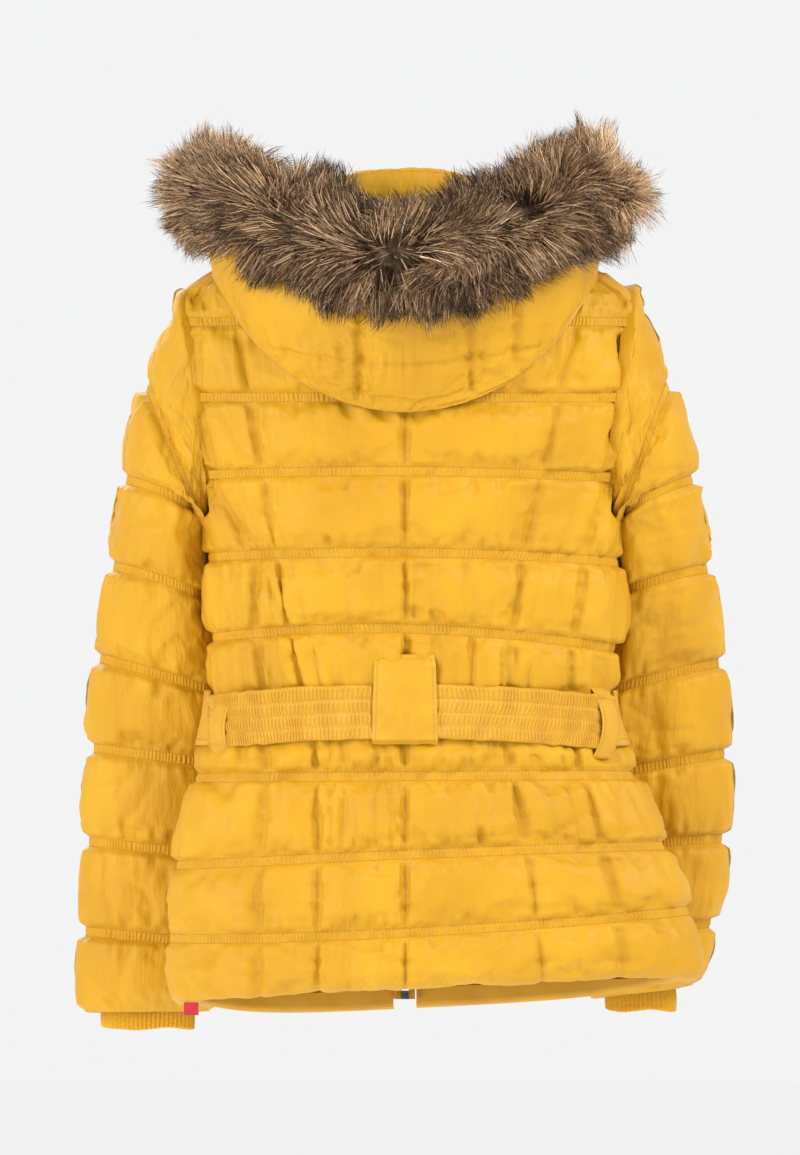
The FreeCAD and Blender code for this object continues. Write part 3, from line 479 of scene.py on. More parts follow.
tape_cloth = finish(
    "zip_tape", (0.52, 0.26, 0.02), (0.64, 0.33, 0.03), (400, 1200, 400), 0.8,
    [((900, 900, 1800), 0.12, 1.0)], "Object")
teeth_plastic = finish(
    "zip_teeth", (0.56, 0.29, 0.02), (0.66, 0.35, 0.03), (300, 300, 300), 0.35,
    [((900, 900, 900), 0.04, 1.0)], "Object")
zip_metal = finish(
    "zip_metal", (0.07, 0.065, 0.06), (0.14, 0.13, 0.12), (250, 250, 250), 0.32,
    [((1200, 1200, 300), 0.03, 1.0)], "Object", Metallic=1.0)
buckle_metal = finish(
    "buckle_metal", (0.22, 0.20, 0.16), (0.38, 0.35, 0.30), (160, 160, 160), 0.28,
    [((900, 900, 300), 0.03, 1.0)], "Object", Metallic=1.0)
label_cloth = finish(
    "label", (0.42, 0.01, 0.025), (0.55, 0.015, 0.035), (500, 900, 500), 0.6,
    [(WEAVE, 0.08, 1.0)], "Object")
under_fur = finish(
    "fur_backing", (0.07, 0.040, 0.022), (0.20, 0.122, 0.066), (120, 120, 120), 0.9, source="Object")


def finish_piece(made, surface, body="torso", replaced=()):
    """Gives a piece its material and colour slot, hangs it on what it rides on, and hides the frame's parts
    that it stands for.
    """
    made.data.materials.append(surface)
    if replaced:
        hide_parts(*replaced)
    if body:
        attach(made, body)
    return made


def sew(name, lines, slot="shell_nylon", body="torso", **spacing):
    """Thread stitches along the lines, as a piece of their own."""
    return finish_piece(stitches(name, lines, **spacing), thread, body)


def along_grid(grid, n, rows=(), columns=(), ends=slice(None), lift=0.3):
    """Seam lines on a grid's rows and columns, lifted a little off the cloth."""
    down = [(grid[ends, c] + n[ends, c] * lift, n[ends, c]) for c in columns]
    return down + [(grid[r, ends] + n[r, ends] * lift, n[r, ends]) for r in rows]


# ------------------------------------------------------------------ quilting
def rows_between(lines, step):
    """Grid rows for quilting lines: the two needles of each row with one row between, and the cells."""
    rows, place, cell = [], [], []
    half = np.where(np.arange(lines.shape[1]) < 3, 0.5 * TUNNEL, 0.0)
    for k, (above, below) in enumerate(zip(lines, lines[1:])):
        top = above - (half if k > 0 else 0)
        bottom = below + (half if k < len(lines) - 2 else 0)
        height = np.abs(top - bottom).max()
        count = max(4, int(round(height / step)))
        for i in range(count + (1 if k == len(lines) - 2 else 0)):
            rows.append(top + (bottom - top) * i / count)
            place.append(i / count)
            cell.append(k)
        if k < len(lines) - 2:
            rows.append(bottom)
            rows.append(below)
            place += [1.0, -1.0]
            cell += [k, k]
    return np.array(rows), np.array(place), np.array(cell)


def puckers(u, away, seed, reach=20.0, length=8.0):
    """Small gathers that run out from a stitch row: u along it and away from it, in millimetres."""
    wave = smooth_noise(u / length, away * 0 + 3.7 * seed, seed)
    wave = wave + 0.7 * smooth_noise(u / (0.55 * length), away / 60, seed + 1)
    own = reach * (0.75 + 0.5 * smooth_noise(u / 23.0, away * 0, seed + 2))
    return wave * np.exp(-((away / own) ** 2))


def stitches(name, lines, pitch=3.0, length=2.1, thick=0.42):
    """Thread stitches along lines of (points, normals)."""
    points, faces, start = [], [], 0
    corners = np.array([(k, (k + 1) % 4, 4) for k in range(4)] + [((k + 1) % 4, k, 5) for k in range(4)])
    for line, n in lines:
        walk = walked(line)
        at = np.arange(pitch / 2, walk[-1], pitch)
        if len(at) < 2:
            continue
        middle, out = read_at(at, walk, line), read_at(at, walk, n)
        along = read_at(at + 0.5, walk, line) - read_at(at - 0.5, walk, line)
        along /= np.maximum(np.linalg.norm(along, axis=1, keepdims=True), 1e-9)
        side = np.cross(along, out)
        ring = [side * thick, out * thick * 1.5, -side * thick, -out * thick]
        ends = [-along * length / 2 - out * 0.3, along * length / 2 - out * 0.3]
        block = np.stack([middle + shift for shift in ring + ends], 1)
        points.append(block.reshape(-1, 3))
        faces.append((np.arange(len(at))[:, None, None] * 6 + corners).reshape(-1, 3) + start)
        start += len(at) * 6
    return mesh_object(name, np.concatenate(points), np.concatenate(faces))


# ------------------------------------------------------------------ torso
def line_height(line, x, y):
    """Height of a row given at its left edge, middle and right edge, with a slope along Y."""
    left, middle, right, slope = line
    share = x / ROW_EDGE_X
    return middle + 0.5 * (left - right) * share + (0.5 * (left + right) - middle) * share**2 + slope * y


def torso_lines():
    """Quilting lines from the neck to the hem, with the rows that lie close on the shoulders."""
    zs = np.linspace(BODY_ROWS[0][1] + TUNNEL / 2, TORSO[-1, 0] - 1.0, 200)
    left = smooth(zs, TORSO[:, 0], TORSO[:, 1])
    walk = np.concatenate([[0], np.cumsum(np.hypot(np.diff(left), np.diff(zs)))])
    count = int(walk[-1] / (1.25 * CELL_STEP))
    neck = np.interp(np.linspace(walk[-1], 0, count + 1), walk, zs)
    lines = np.array([(*row, 0.0) for row in BODY_ROWS])
    hem = HEM_Z + HEM_SLOPE_X * np.array([ROW_EDGE_X, 0, -ROW_EDGE_X])
    return neck, np.vstack([lines, (*hem, HEM_SLOPE_Y)])


def torso_grid():
    """Base points of the body with each point's place in its cell and panel."""
    neck, lines = torso_lines()
    rows, place, cell = rows_between(np.vstack([lines[0], lines]), CELL_STEP)
    start = int(np.argmax(cell == 1))
    rows, place = rows[start:], place[start:]
    upper = np.array([(z, z, z, 0.0) for z in neck])
    share = np.linspace(0, 1, len(neck))
    rows = np.vstack([upper, lines[0], rows])
    place = np.concatenate([share, [-1.0], place])
    fine = np.linspace(-0.5 * np.pi, 1.5 * np.pi, 1441)
    grid = np.empty((len(rows), sum(PANEL_COLUMNS) + 1, 3))
    for r, line in enumerate(rows):
        z = np.full(fine.shape, line[1])
        for _ in range(4):
            x, y = torso_xy(z, fine)
            z = line_height(line, x, y)
        ring = np.stack([*torso_xy(z, fine), z], 1)
        walk = walked(ring)
        edges = np.interp(panel_turns(line), fine, walk)
        parts = zip(edges, edges[1:], PANEL_COLUMNS)
        at = np.concatenate([np.linspace(a, b, n, endpoint=False) for a, b, n in parts] + [edges[-1:]])
        grid[r] = read_at(at, walk, ring)
    panel = np.concatenate([np.arange(n) / n for n in PANEL_COLUMNS] + [[0.0]])
    return grid, place, panel


def panel_turns(line):
    """Turns of the front edges and the nine seams on a row, by way of the left side."""
    turns = []
    for side in (1, -1):
        def height(x, y):
            return float(line_height(line, side * x, y))
        front, side_z, back = height(60, -80), height(190, 0), height(110, 80)
        half = float(torso_size(side_z)[0 if side == 1 else 1])
        depth = float(torso_size(side_z)[3])
        princess = min(float(seam_x(PRINCESS[side], back)), 0.80 * half)
        outer = min(float(seam_x(SIDE_BACK[side], back)), 0.93 * half)
        ahead = [
            float(turn_at(front, FRONT_EDGE, False)),
            float(turn_at(front, min(FRONT_PRINCESS, 0.62 * half), False)),
            -math.asin((-SIDE_SEAM_Y / depth) ** (FRONT_POWER / 2)),
        ]
        behind = [float(turn_at(back, outer * side, True)), float(turn_at(back, princess * side, True))]
        turns.append((ahead if side == 1 else [math.pi - turn for turn in ahead]) + behind)
    return np.array(turns[0] + [0.5 * np.pi] + turns[1][::-1])


def belt_cap(z):
    """1 under the belt, fading to 0 just above and below it."""
    return 1 - ease(22, 34, np.abs(z - BELT_Z))


def torso_panels():
    base, place, panel = torso_grid()
    normal = normals_of(base)
    v = np.clip(place, 0, 1)[:, None]
    w = panel[None, :]
    sewn = ((place <= 0) | (place >= 1)).astype(float)[:, None] * np.ones_like(w)
    across = (4 * v * (1 - v)) ** 0.45 * (place[:, None] >= 0)
    within = 0.42 + 0.58 * (4 * w * (1 - w)) ** 0.35
    z = base[..., 2]
    u = girth(base)
    under = belt_cap(z)
    rise = across * within * (BODY_PUFF - UNDER_BELT * under)
    shape = base + normal * (rise - SINK)[..., None]
    hold = sewn.copy()
    hold[:, :1] = hold[:, -1:] = 1
    hold[:1] = hold[-1:] = 1
    seams = np.cumsum(PANEL_COLUMNS)[:-1]
    hold[:, seams] = np.maximum(hold[:, seams], 0.9)
    waist = np.exp(-((z - BELT_Z) / 110) ** 2)
    slack = np.clip(0.35 + 0.6 * waist + 0.25 * smooth_noise(u / 40, z / 90, 5), 0, 1)
    shape = puffed(shape, hold, slack)
    high = (2.5 - 3.0 * under)[..., None]
    shape = capped(shape, base, normal, -SINK - 2.0, high)
    return base, normal, shape, place, u, seams


def limit_armholes(points, margin=0.0):
    """Nothing of the body passes an armhole's plane; returns the points and which lie on it."""
    out = points.copy()
    beyond = np.zeros(points.shape[:2], bool)
    for side in (1, -1):
        z = points[..., 2]
        (_, low), (_, high) = ARMHOLE[side]
        limit = armhole_x(side, z) - margin + 400 * ease(0, 90, low - 5 - z)
        past = side * points[..., 0] > limit
        out[..., 0] = np.where(past, side * limit, out[..., 0])
        y_share = np.abs(points[..., 1]) / ARMHOLE_DEPTH
        z_share = np.abs(2 * z - low - high) / (high - low)
        beyond |= past & (y_share**BACK_POWER + z_share**BACK_POWER < ARMHOLE_OPEN**BACK_POWER)
    return out, beyond


def body_folds(base, u, z, place, seams, times):
    """Height of every small fold of the body's cloth: gathers at the rows, seams and creases."""
    index = np.arange(len(z)) / times
    row_height = z_middle(base)
    height = np.interp(index, np.arange(len(place)), row_height)
    lines = row_height[np.flatnonzero(place < 0)]
    away = np.abs(height[:, None] - lines[None, :])
    nearest = away.argmin(1)
    gap = np.maximum(away.min(1) - TUNNEL / 2, 0)[:, None]
    wrinkle = np.zeros_like(z)
    for k, line in enumerate(lines):
        below = (nearest == k)[:, None] & (height[:, None] < line)
        above = (nearest == k)[:, None] & (height[:, None] >= line)
        wrinkle += below * puckers(u, gap, 11 + 3 * k) + above * puckers(u, gap, 12 + 5 * k)
    column = np.arange(z.shape[1])
    to_seam = np.min(np.abs(column[None, :] / times - seams[:, None]), 0)[None, :] * CELL_STEP
    seam_pull = puckers(z, to_seam * np.ones_like(z), 91, reach=10.0, length=8.0)
    waist = np.exp(-((z - BELT_Z) / 95) ** 2)
    lean = 0.5 * smooth_noise(u / 90, z / 70, 22)
    folds = smooth_noise(u / 15 + lean, z / 130, 23)
    wide_folds = smooth_noise((u + 0.35 * z) / 46 + lean, (z - 0.2 * u) / 120, 24)
    creases = -valley(folds, 0.22) * (0.12 + 0.88 * waist) * ease(0, 8, gap)
    creases -= 0.45 * valley(wide_folds, 0.14) * ease(0, 10, gap) * (1 - 0.5 * waist)
    push = GATHERS * wrinkle * (gap > 0) * ease(0, 4, gap)
    push += (SEAM_GATHERS * seam_pull - SEAM_VALLEY * valley(to_seam, 2.4)) * ease(0, 6, gap)
    push += CREASES * creases + WAIST_RISE * waist * ease(0, 5, gap)
    push += BROAD_FOLDS * smooth_noise(u / 34, z / 26, 31, 2) * ease(0, 14, gap)
    pleats = smooth_noise(u / 10 + 2 * lean, z / 170, 25) * np.exp(-((z - BELT_Z) / 120) ** 2)
    push += WAIST_FOLDS * pleats * ease(0, 12, gap)
    return push * (1 - 0.55 * belt_cap(z)) * ease(0, 7, np.minimum(column, column[::-1]))


def build_torso():
    base, normal, shape, place, u, seams = torso_panels()
    times = 2
    fine, fine_base = finer(shape, times), finer(base, times)
    z = fine_base[..., 2]
    push = body_folds(base, finer(u[..., None], times)[..., 0], z, place, seams, times)
    for side in (1, -1):
        to_sleeve = armhole_x(side, z) - side * fine[..., 0]
        above = ease(-10, 10, z - ARMHOLE[side][0][1]) * ease(-55, -90, z)
        push -= 4.0 * (1 - ease(0, 15, to_sleeve)) * above
    fine, beyond = limit_armholes(fine + normals_of(fine) * push[..., None])
    inward = -normals_of(fine_base)
    lip = [(0.27, 2.6), (0.78, 6.0), (0.78, 14.0)]             # the front edge turned in: sideways, inwards
    left = [fine[:, :1] + inward[:, :1] * b + np.array([a, 0, 0]) for a, b in lip]
    right = [fine[:, -1:] + inward[:, -1:] * b - np.array([a, 0, 0]) for a, b in lip]
    fine = np.concatenate(left[::-1] + [fine] + right, 1)
    inward = np.pad(inward, ((0, 0), (len(lip), len(lip)), (0, 0)), mode="edge")
    turned = [(2.5, -1.6), (6, -1.2), (10, 2), (12, 9)]        # the hem turned in: inwards, upwards
    hem = [fine[-1:] + inward[-1:] * b + np.array([0, 0, c]) for b, c in turned]
    keep = ~np.pad(beyond, ((0, len(hem)), (len(lip), len(lip))))
    made = cloth_piece("body_quilted_shell", np.concatenate([fine] + hem), keep=keep)
    panels = ("back_centre", "back_princess", "back_side", "front_centre", "front_side")
    stands_for = [f"{panel}_{side}" for side in ("left", "right") for panel in panels]
    finish_piece(made, shell, replaced=stands_for)
    base, past = limit_armholes(base)
    pieces, sewn = [], []
    for row in np.flatnonzero(place < 0):
        for a, b in spans(~past[row]):
            pieces.append((base[row - 1:row + 2, a:b], normal[row - 1:row + 2, a:b]))
        for r in (row - 1, row + 1):
            line = base[r] + normal[r] * (0.5 - SINK)
            sewn += [(line[a:b], normal[r][a:b]) for a, b in spans(~past[r])]
    finish_piece(ribbed("body_gathered_rows", pieces), shell)
    sew("body_stitches", sewn)


def z_middle(base):
    """Height of each row at the centre of the back."""
    return base[:, sum(PANEL_COLUMNS[:5]), 2]


def spans(keep):
    """Runs of kept places, as start and end."""
    edges = np.flatnonzero(np.diff(np.concatenate([[0], keep.astype(int), [0]])))
    return [(a, b) for a, b in zip(edges[::2], edges[1::2]) if b - a > 3]


def ribbed(name, pieces, pitch=3.4, lift=1.0):
    """Strips of small ribs, each laid on three rows of points with their normals."""
    points, faces, uvs, start = [], [], [], 0
    for k, (line, n) in enumerate(pieces):
        line = line - n * SINK
        walk = walked(line[1])
        u = np.linspace(0, walk[-1], max(8, int(walk[-1] / (pitch / 6))))
        across = np.linspace(0, 2, 7)
        pick = np.minimum(across.astype(int), 1)
        part = (across - pick)[:, None, None]
        line, n = (np.stack([read_at(u, walk, row) for row in rows]) for rows in (line, n))
        line, n = (rows[pick] * (1 - part) + rows[pick + 1] * part for rows in (line, n))
        drift = 0.8 * smooth_noise(u / 15, u * 0, 40 + k)
        lean = (across[:, None] - 1) * 0.22 * smooth_noise(u[None, :] / 20, across[:, None] * 0, 80 + k)
        rib = (0.5 + 0.5 * np.cos(2 * np.pi * (u[None, :] / pitch + drift[None, :] + lean))) ** 0.8
        swell = 0.75 + 0.35 * smooth_noise(u / 6, u * 0, 60 + k)[None, :]
        profile = np.sin(np.pi * across / 2)[:, None] ** 0.6
        height = profile * lift * (1.5 * rib * swell - 0.5) + 0.1
        made = line + n * height[..., None]
        points.append(made.reshape(-1, 3))
        faces.append(grid_faces(*made.shape[:2]) + start)
        uvs.append(grid_uv(made))
        start += made.shape[0] * made.shape[1]
    return mesh_object(name, np.concatenate(points), np.concatenate(faces), np.concatenate(uvs))


# ------------------------------------------------------------------ sleeves
def sleeve_tables(side):
    (_, z0), (_, z1) = ARMHOLE[side]
    first = (armhole_x(side, z0) + 1, z0, armhole_x(side, z1) + 1, z1, 0, ARMHOLE_DEPTH)
    return np.array([first] + SLEEVE[side], float)


def sleeve_ring(side, table, z_in, z_out, turns, inset=0.0):
    """One ring of a sleeve from the heights of its inner and outer ends."""
    lean = SLEEVE_LEAN * ease(-236, -258, z_in) * (1 - ease(-470, -540, z_in))
    inner = smooth(-z_in, -table[:, 1], table[:, 0]) - lean
    outer = smooth(-z_out, -table[:, 3], table[:, 2])
    mid = 0.5 * (z_in + z_out)
    key = 0.5 * (table[:, 1] + table[:, 3])
    y = smooth(-mid, -key, table[:, 4])
    deep = smooth(-mid, -key, table[:, 5])
    a, b = np.array([side * inner, y, z_in]), np.array([side * outer, y, z_out])
    reach = np.linalg.norm(b - a)
    along, across = oval(turns, 0.5 * reach - inset, deep - inset, BACK_POWER)
    return 0.5 * (a + b) + np.outer(along, (b - a) / reach) + np.outer(across, (0, side, 0))


def sleeve_base(side, inset=0.0, step=CELL_STEP, columns=SLEEVE_COLUMNS):
    table = sleeve_tables(side)
    lines = [(table[0, 1], table[0, 3])]
    for z_out, drop in SLEEVE_ROWS[side]:
        z_in = z_out
        for _ in range(6):
            x_out = smooth(-z_out, -table[:, 3], table[:, 2])
            x_in = smooth(-z_in, -table[:, 1], table[:, 0])
            z_in = z_out - drop * (x_out - x_in)
        lines.append((float(z_in), z_out))
    lines.append((table[-1, 1], table[-1, 3]))
    if lines[1][0] > lines[0][0] - 14:
        lines[1] = (lines[0][0] - 14 - 0.25 * (lines[0][1] - lines[1][1] - 60), lines[1][1])
    rows, place, _ = rows_between(np.array(lines, float), step)
    turns = np.linspace(0, 2 * np.pi, 721)
    grid = np.empty((len(rows), columns, 3))
    for r, (z_in, z_out) in enumerate(rows):
        ring = sleeve_ring(side, table, z_in, z_out, turns, inset)
        walk = walked(ring)
        grid[r] = read_at(np.linspace(0, walk[-1], columns, endpoint=False), walk, ring)
    return grid, place


def outward(grid):
    """Unit normals of a closed grid that point away from its middle line."""
    n = normals_of(grid, closed=True)
    middle = grid.mean(1, keepdims=True)
    return n if ((grid - middle) * n).sum() > 0 else -n


def sleeve_panels(side):
    """The sleeve's grid, its normals, its puffed shape, each row's place and the length round it."""
    base, place = sleeve_base(side)
    normal = outward(base)
    v = np.clip(place, 0, 1)[:, None]
    column = np.arange(SLEEVE_COLUMNS)
    to_seam = np.min([np.minimum(abs(column - s), SLEEVE_COLUMNS - abs(column - s)) for s in SLEEVE_SEAMS], 0)
    across = (4 * v * (1 - v)) ** 0.45 * (place[:, None] >= 0)
    within = 0.65 + 0.35 * ease(0, 5, to_seam)[None, :]
    joined = 1 - ease(0, 6, np.arange(len(base)))[:, None]      # full width where the sleeve meets the body
    rise = across * within * SLEEVE_PUFF - SINK + (SINK + 4.0 * np.abs(normal[..., 1])) * joined
    hold = ((place <= 0) | (place >= 1)).astype(float)[:, None] * np.ones(SLEEVE_COLUMNS)[None, :]
    hold[:, SLEEVE_SEAMS] = np.maximum(hold[:, SLEEVE_SEAMS], 0.5)
    u = girth(base)
    slack = np.clip(0.5 + 0.4 * smooth_noise(u / 40, base[..., 2] / 60, 15 + side), 0, 1)
    shape = puffed(base + normal * rise[..., None], hold, slack, closed=True)
    return base, normal, capped(shape, base, normal, -SINK - 2, 4.0), place, u


def build_sleeve(side, word):
    base, normal, shape, place, u = sleeve_panels(side)
    times = 2
    fine, n = finer(shape, times, True), finer(normal, times, True)
    u = np.pad(u, ((0, 0), (0, 1)), mode="reflect", reflect_type="odd")
    u = finer(u[..., None], times)[:, :-1, 0]
    z = finer(base, times, True)[..., 2]
    row_at = np.flatnonzero(place < 0)
    away = np.abs(np.arange(len(fine))[:, None] / times - row_at[None, :]) * CELL_STEP
    nearest, gap = away.argmin(1), np.maximum(away.min(1) - CELL_STEP, 0)[:, None]
    wrinkle = np.zeros(fine.shape[:2])
    for k in range(len(row_at)):
        wrinkle += (nearest == k)[:, None] * puckers(u, gap, 211 + 7 * k + side)
    broad = smooth_noise(u / 36, z / 24, 231 + side, 2) * ease(0, 12, gap)
    folds = smooth_noise(u / 30 + 0.6 * smooth_noise(u / 70, z / 60, 232), z / 46, 233 + side)
    push = SLEEVE_GATHERS * wrinkle * ease(0, 4, gap) + SLEEVE_FOLDS * broad
    push -= SLEEVE_CREASES * valley(folds, 0.15) * ease(0, 9, gap)
    fine = clear_of_body(fine + n * push[..., None], side, -2.5)
    slant = np.array([side, 0, 0.12])
    inside = [fine[:1] - slant * a - n[:1] * b for a, b in ((9, 4.0), (3, 1.5))]
    turned = [(1.5, -2.2), (5, -2.6), (9, 0), (12, 8), (13, 22)]   # the sleeve's end: inwards, upwards
    end = [fine[-1:] - n[-1:] * a + np.array([0, 0, b]) for a, b in turned]
    whole = np.concatenate(inside + [fine] + end)
    made = cloth_piece(f"sleeve_{word}_quilted_shell", whole, True, flip=side < 0)
    panels = [f"sleeve_{word}_top", f"sleeve_{word}_under"]
    finish_piece(made, shell, None, panels)
    loop_n = np.concatenate([normal, normal[:, :1]], 1)
    loop = clear_of_body(np.concatenate([base, base[:, :1]], 1), side, SINK - 2.5)
    ribs = ribbed(f"sleeve_{word}_gathered_rows", [(loop[r - 1:r + 2], loop_n[r - 1:r + 2]) for r in row_at])
    finish_piece(ribs, shell, None)
    sewn = [(loop[r] - loop_n[r] * (SINK - 0.5), loop_n[r]) for row in row_at for r in (row - 1, row + 1)]
    seams = sew(f"sleeve_{word}_stitches", sewn, body=None)
    inner, _ = sleeve_base(side, inset=19.0, step=16.0, columns=40)
    cuff = cuff_ring(side, 40, 3.0)[None] + np.array([0, 0, CUFF[side][4] + CUFF_TOP - 4])
    lining = cloth_piece(f"sleeve_{word}_lining_cloth", np.concatenate([inner[:-4], cuff]), True)
    finish_piece(lining, lining_cloth, None, replaced=[f"sleeve_{word}_lining"])
    for piece in (made, ribs, seams, lining):
        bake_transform(piece)
    build_cuff(side, word)


def cuff_ring(side, count, inset=0.0):
    x, y, wide, deep, _ = CUFF[side]
    turns = np.linspace(0, 2 * np.pi, 721)
    a, b = oval(turns, wide - inset, deep - inset, BACK_POWER)
    ring = np.stack([side * (x + a), y + side * b, 0 * a], 1)
    walk = walked(ring)
    return read_at(np.linspace(0, walk[-1], count, endpoint=False), walk, ring)


def build_cuff(side, word, pitch=3.7):
    """A knitted tube of vertical ribs, turned in at its lower edge."""
    x, y, wide, deep, low = CUFF[side]
    ribs = int(round(2.05 * (wide + deep) * 1.55 / pitch))
    count = ribs * 8
    ring = cuff_ring(side, count)
    middle = np.array([side * x, y, 0.0])
    out = ring - middle
    out /= np.linalg.norm(out, axis=1, keepdims=True)
    rib = (0.5 + 0.5 * np.cos(2 * np.pi * np.arange(count) / 8)) ** 0.7
    heights = np.concatenate([np.linspace(CUFF_TOP, 4, 16), [1.5, 0.3, 0.0, 0.6, 3, 12, 30]])
    pulled = np.concatenate([0.6 * np.sin(np.linspace(0, 9, 16)), [0.4, -0.4, -1.4, -2.6, -3.4, -3.6, -3.8]])
    depth = np.concatenate([np.full(16, 1.5), [1.4, 1.2, 0.9, 0.6, 0.5, 0.5, 0.5]])
    rows = np.array([
        ring + out * (p - 1.0 + d * rib[:, None]) + np.array([0, 0, low + h])
        for h, p, d in zip(heights, pulled, depth)
    ])
    rows[..., 2] += 1.2 * np.sin(np.arange(count) / count * 2 * np.pi * 3 + side)[None, :]
    made = cloth_piece(f"cuff_{word}_knit", rows, True, flip=side < 0)
    finish_piece(made, knit, f"{word}_sleeve", replaced=[f"cuff_{word}"])


# ------------------------------------------------------------------ collar
def neck_ring(turns, inset):
    wide, back, front = (d - inset for d in NECK)
    bx, by = oval(turns, wide, back, BACK_POWER)
    fx, fy = oval(turns, wide, front, FRONT_POWER)
    behind = np.sin(turns) >= 0
    return np.where(behind, bx, fx), np.where(behind, by, fy)


def neck_height(y, heights):
    back, front = heights
    return front + (back - front) * (y + NECK[2]) / (NECK[1] + NECK[2])


def collar_profile(turns, profile):
    """Rings of the collar from (inset, share of the height from seam to top, extra height) rows."""
    rows = []
    for inset, share, extra in profile:
        x, y = neck_ring(turns, inset)
        low, high = neck_height(y, NECK_SEAM), neck_height(y, COLLAR_TOP)
        rows.append(np.stack([x, y, low + (high - low) * share + extra], 1))
    return np.array(rows)


def build_collar():
    edge = math.asin(min(1.0, FRONT_EDGE / NECK[0])) * 0.9
    turns = np.linspace(-0.5 * np.pi + edge, 1.5 * np.pi - edge, 200)
    profile = [
        (7, 0.0, -3), (3.5, 0.0, 1), (1.0, 0.12, 0), (-0.5, 0.25, 0), (0.5, 0.38, 0), (4.2, 0.48, 0),
        (4.6, 0.52, 0), (0.5, 0.60, 0), (-0.5, 0.72, 0), (0.2, 0.84, 0), (2.0, 0.93, 0), (4.0, 0.98, 0),
        (4.5, 1.0, -3.4), (5.2, 1.0, -1.0), (8.0, 1.0, 0.8), (11.0, 1.0, -1.0), (12.5, 1.0, -5),
    ]
    grid = finer(collar_profile(turns, profile), 2)
    u = np.linspace(0, 420, grid.shape[1])[None, :] * np.ones(grid.shape[:2])
    n = normals_of(grid)
    share = np.linspace(0, 1, len(grid))[:, None]
    grid = grid + n * (1.4 * smooth_noise(u / 12, share * 3, 301, 2) * ease(0, .1, share))[..., None]
    made = cloth_piece("collar_quilted_shell", grid)
    finish_piece(made, shell, replaced=["collar"])
    profile = [(12.0, 1.0, -3), (14.5, 0.93, 0), (15.5, 0.6, 0), (16.0, 0.3, 0), (16.5, -0.1, 0)]
    inner = cloth_piece("collar_lining_cloth", finer(collar_profile(turns, profile), 2))
    finish_piece(inner, lining_cloth, replaced=["collar_lining"])
    lines = []
    for inset, share in ((-0.2, 0.44), (-0.2, 0.56), (1.2, 0.95)):
        line = collar_profile(turns, [(inset, share, 0)])[0]
        ahead = np.gradient(line, axis=0)
        lines.append((line, np.cross(ahead, (0, 0, 1.0)) / np.linalg.norm(ahead, axis=1, keepdims=True)))
    sew("collar_stitches", lines)


# ------------------------------------------------------------------ linings
def body_rings(heights, offset, columns):
    """Rings round the body from the front edge to the front edge, with the hem's slope fading upwards."""
    turns = np.linspace(-0.5 * np.pi, 1.5 * np.pi, 1441)
    rings = []
    for z0, tilt in heights:
        z = np.full(turns.shape, float(z0))
        for _ in range(3):
            x, y = torso_xy(z, turns, offset)
            z = z0 + tilt * (HEM_SLOPE_X * x + HEM_SLOPE_Y * y)
        x, y = torso_xy(z, turns, offset)
        keep = (np.abs(x) > FRONT_EDGE) | (y > 0)
        ring = np.stack([x, y, z], 1)
        walk = walked(ring)
        rings.append(read_at(np.linspace(walk[keep][0], walk[keep][-1], columns), walk, ring))
    return np.array(rings)


def build_linings():
    levels = (-52, -75, -110, -145, -180, -215, -250, -290, -330, -370, -412, -450, -490, -530, -570)
    heights = [(z, 0.0) for z in levels] + [(HEM_Z + 62, 1.0)]
    fine = finer(body_rings(heights, -22.0, 150), 2)
    z = fine[..., 2]
    u = np.linspace(0, 1200, fine.shape[1])[None, :]
    folds = smooth_noise(u / 30, z / 160, 401, 2) * ease(-60, -200, z)
    fine = fine - normals_of(fine) * (2.4 * (folds + 0.4))[..., None]
    fine, beyond = limit_armholes(fine, margin=3.0)
    made = cloth_piece("body_lining_cloth", fine, keep=~beyond)
    finish_piece(made, lining_cloth, replaced=["body_lining"])
    heights = [(HEM_Z + h, 1.0) for h in (64, 50, 35, 20, 8, 2.0)]
    facing = finer(body_rings(heights, -21.0, 200), 2)
    rows = np.linspace(0, 1, len(facing))[:, None]
    u = np.linspace(0, 1150, facing.shape[1])[None, :]
    facing = facing - normals_of(facing) * (0.8 * smooth_noise(u / 16, rows * 4, 411, 2))[..., None]
    turned = body_rings([(HEM_Z + 0.3, 1.0), (HEM_Z + 1.0, 1.0)], -17.0, facing.shape[1])
    facing = np.concatenate([facing, turned[:1]])
    facing[..., 2] -= 12.0 * ease(-20, -70, facing[..., 1]) * np.append(rows, 1.0)[:, None]
    made = cloth_piece("hem_facing_cloth", facing)
    finish_piece(made, plain, replaced=["hem_facing"])


# ------------------------------------------------------------------ hood
def hood_point(turn, rise, inset=0.0):
    rx, ry, rz = (r - inset for r in HOOD_RADII)
    x = rx * np.cos(rise) * np.cos(turn)
    y = HOOD_CENTRE + ry * np.cos(rise) * np.sin(turn)
    return np.stack([x, y, rz * np.sin(rise) + 0 * x], -1)


def hood_grid(rows, columns, inset=0.0, clear=3.0, tucked=8):
    """The pouch from its rim down to where it meets the back, and from there tucked in behind itself."""
    turns = np.linspace(math.radians(-38), math.radians(218), columns)
    top = math.asin(HOOD_RIM / HOOD_RADII[2])
    fine = np.linspace(top, math.radians(-85), 400)
    arcs = hood_point(turns[None, :], fine[:, None], inset)
    inside = depth_inside(arcs, clear) < 1
    inside[-1] = True
    last = np.maximum(inside.argmax(0), 8)
    share = np.linspace(0, 1, rows)[:, None] * last[None, :] / (len(fine) - 1)
    rise = fine[0] + (fine[-1] - fine[0]) * share
    grid = hood_point(turns[None, :], rise, inset)
    behind = []
    for k in range(1, tucked + 1):
        point = grid[-1] * (0.6, 0.6, 1)
        point[:, 2] += 7.0 * k * (grid[-1, :, 2] < -20)
        behind.append(keep_outside(point, clear - 0.5))
    return np.concatenate([grid, np.array(behind)])


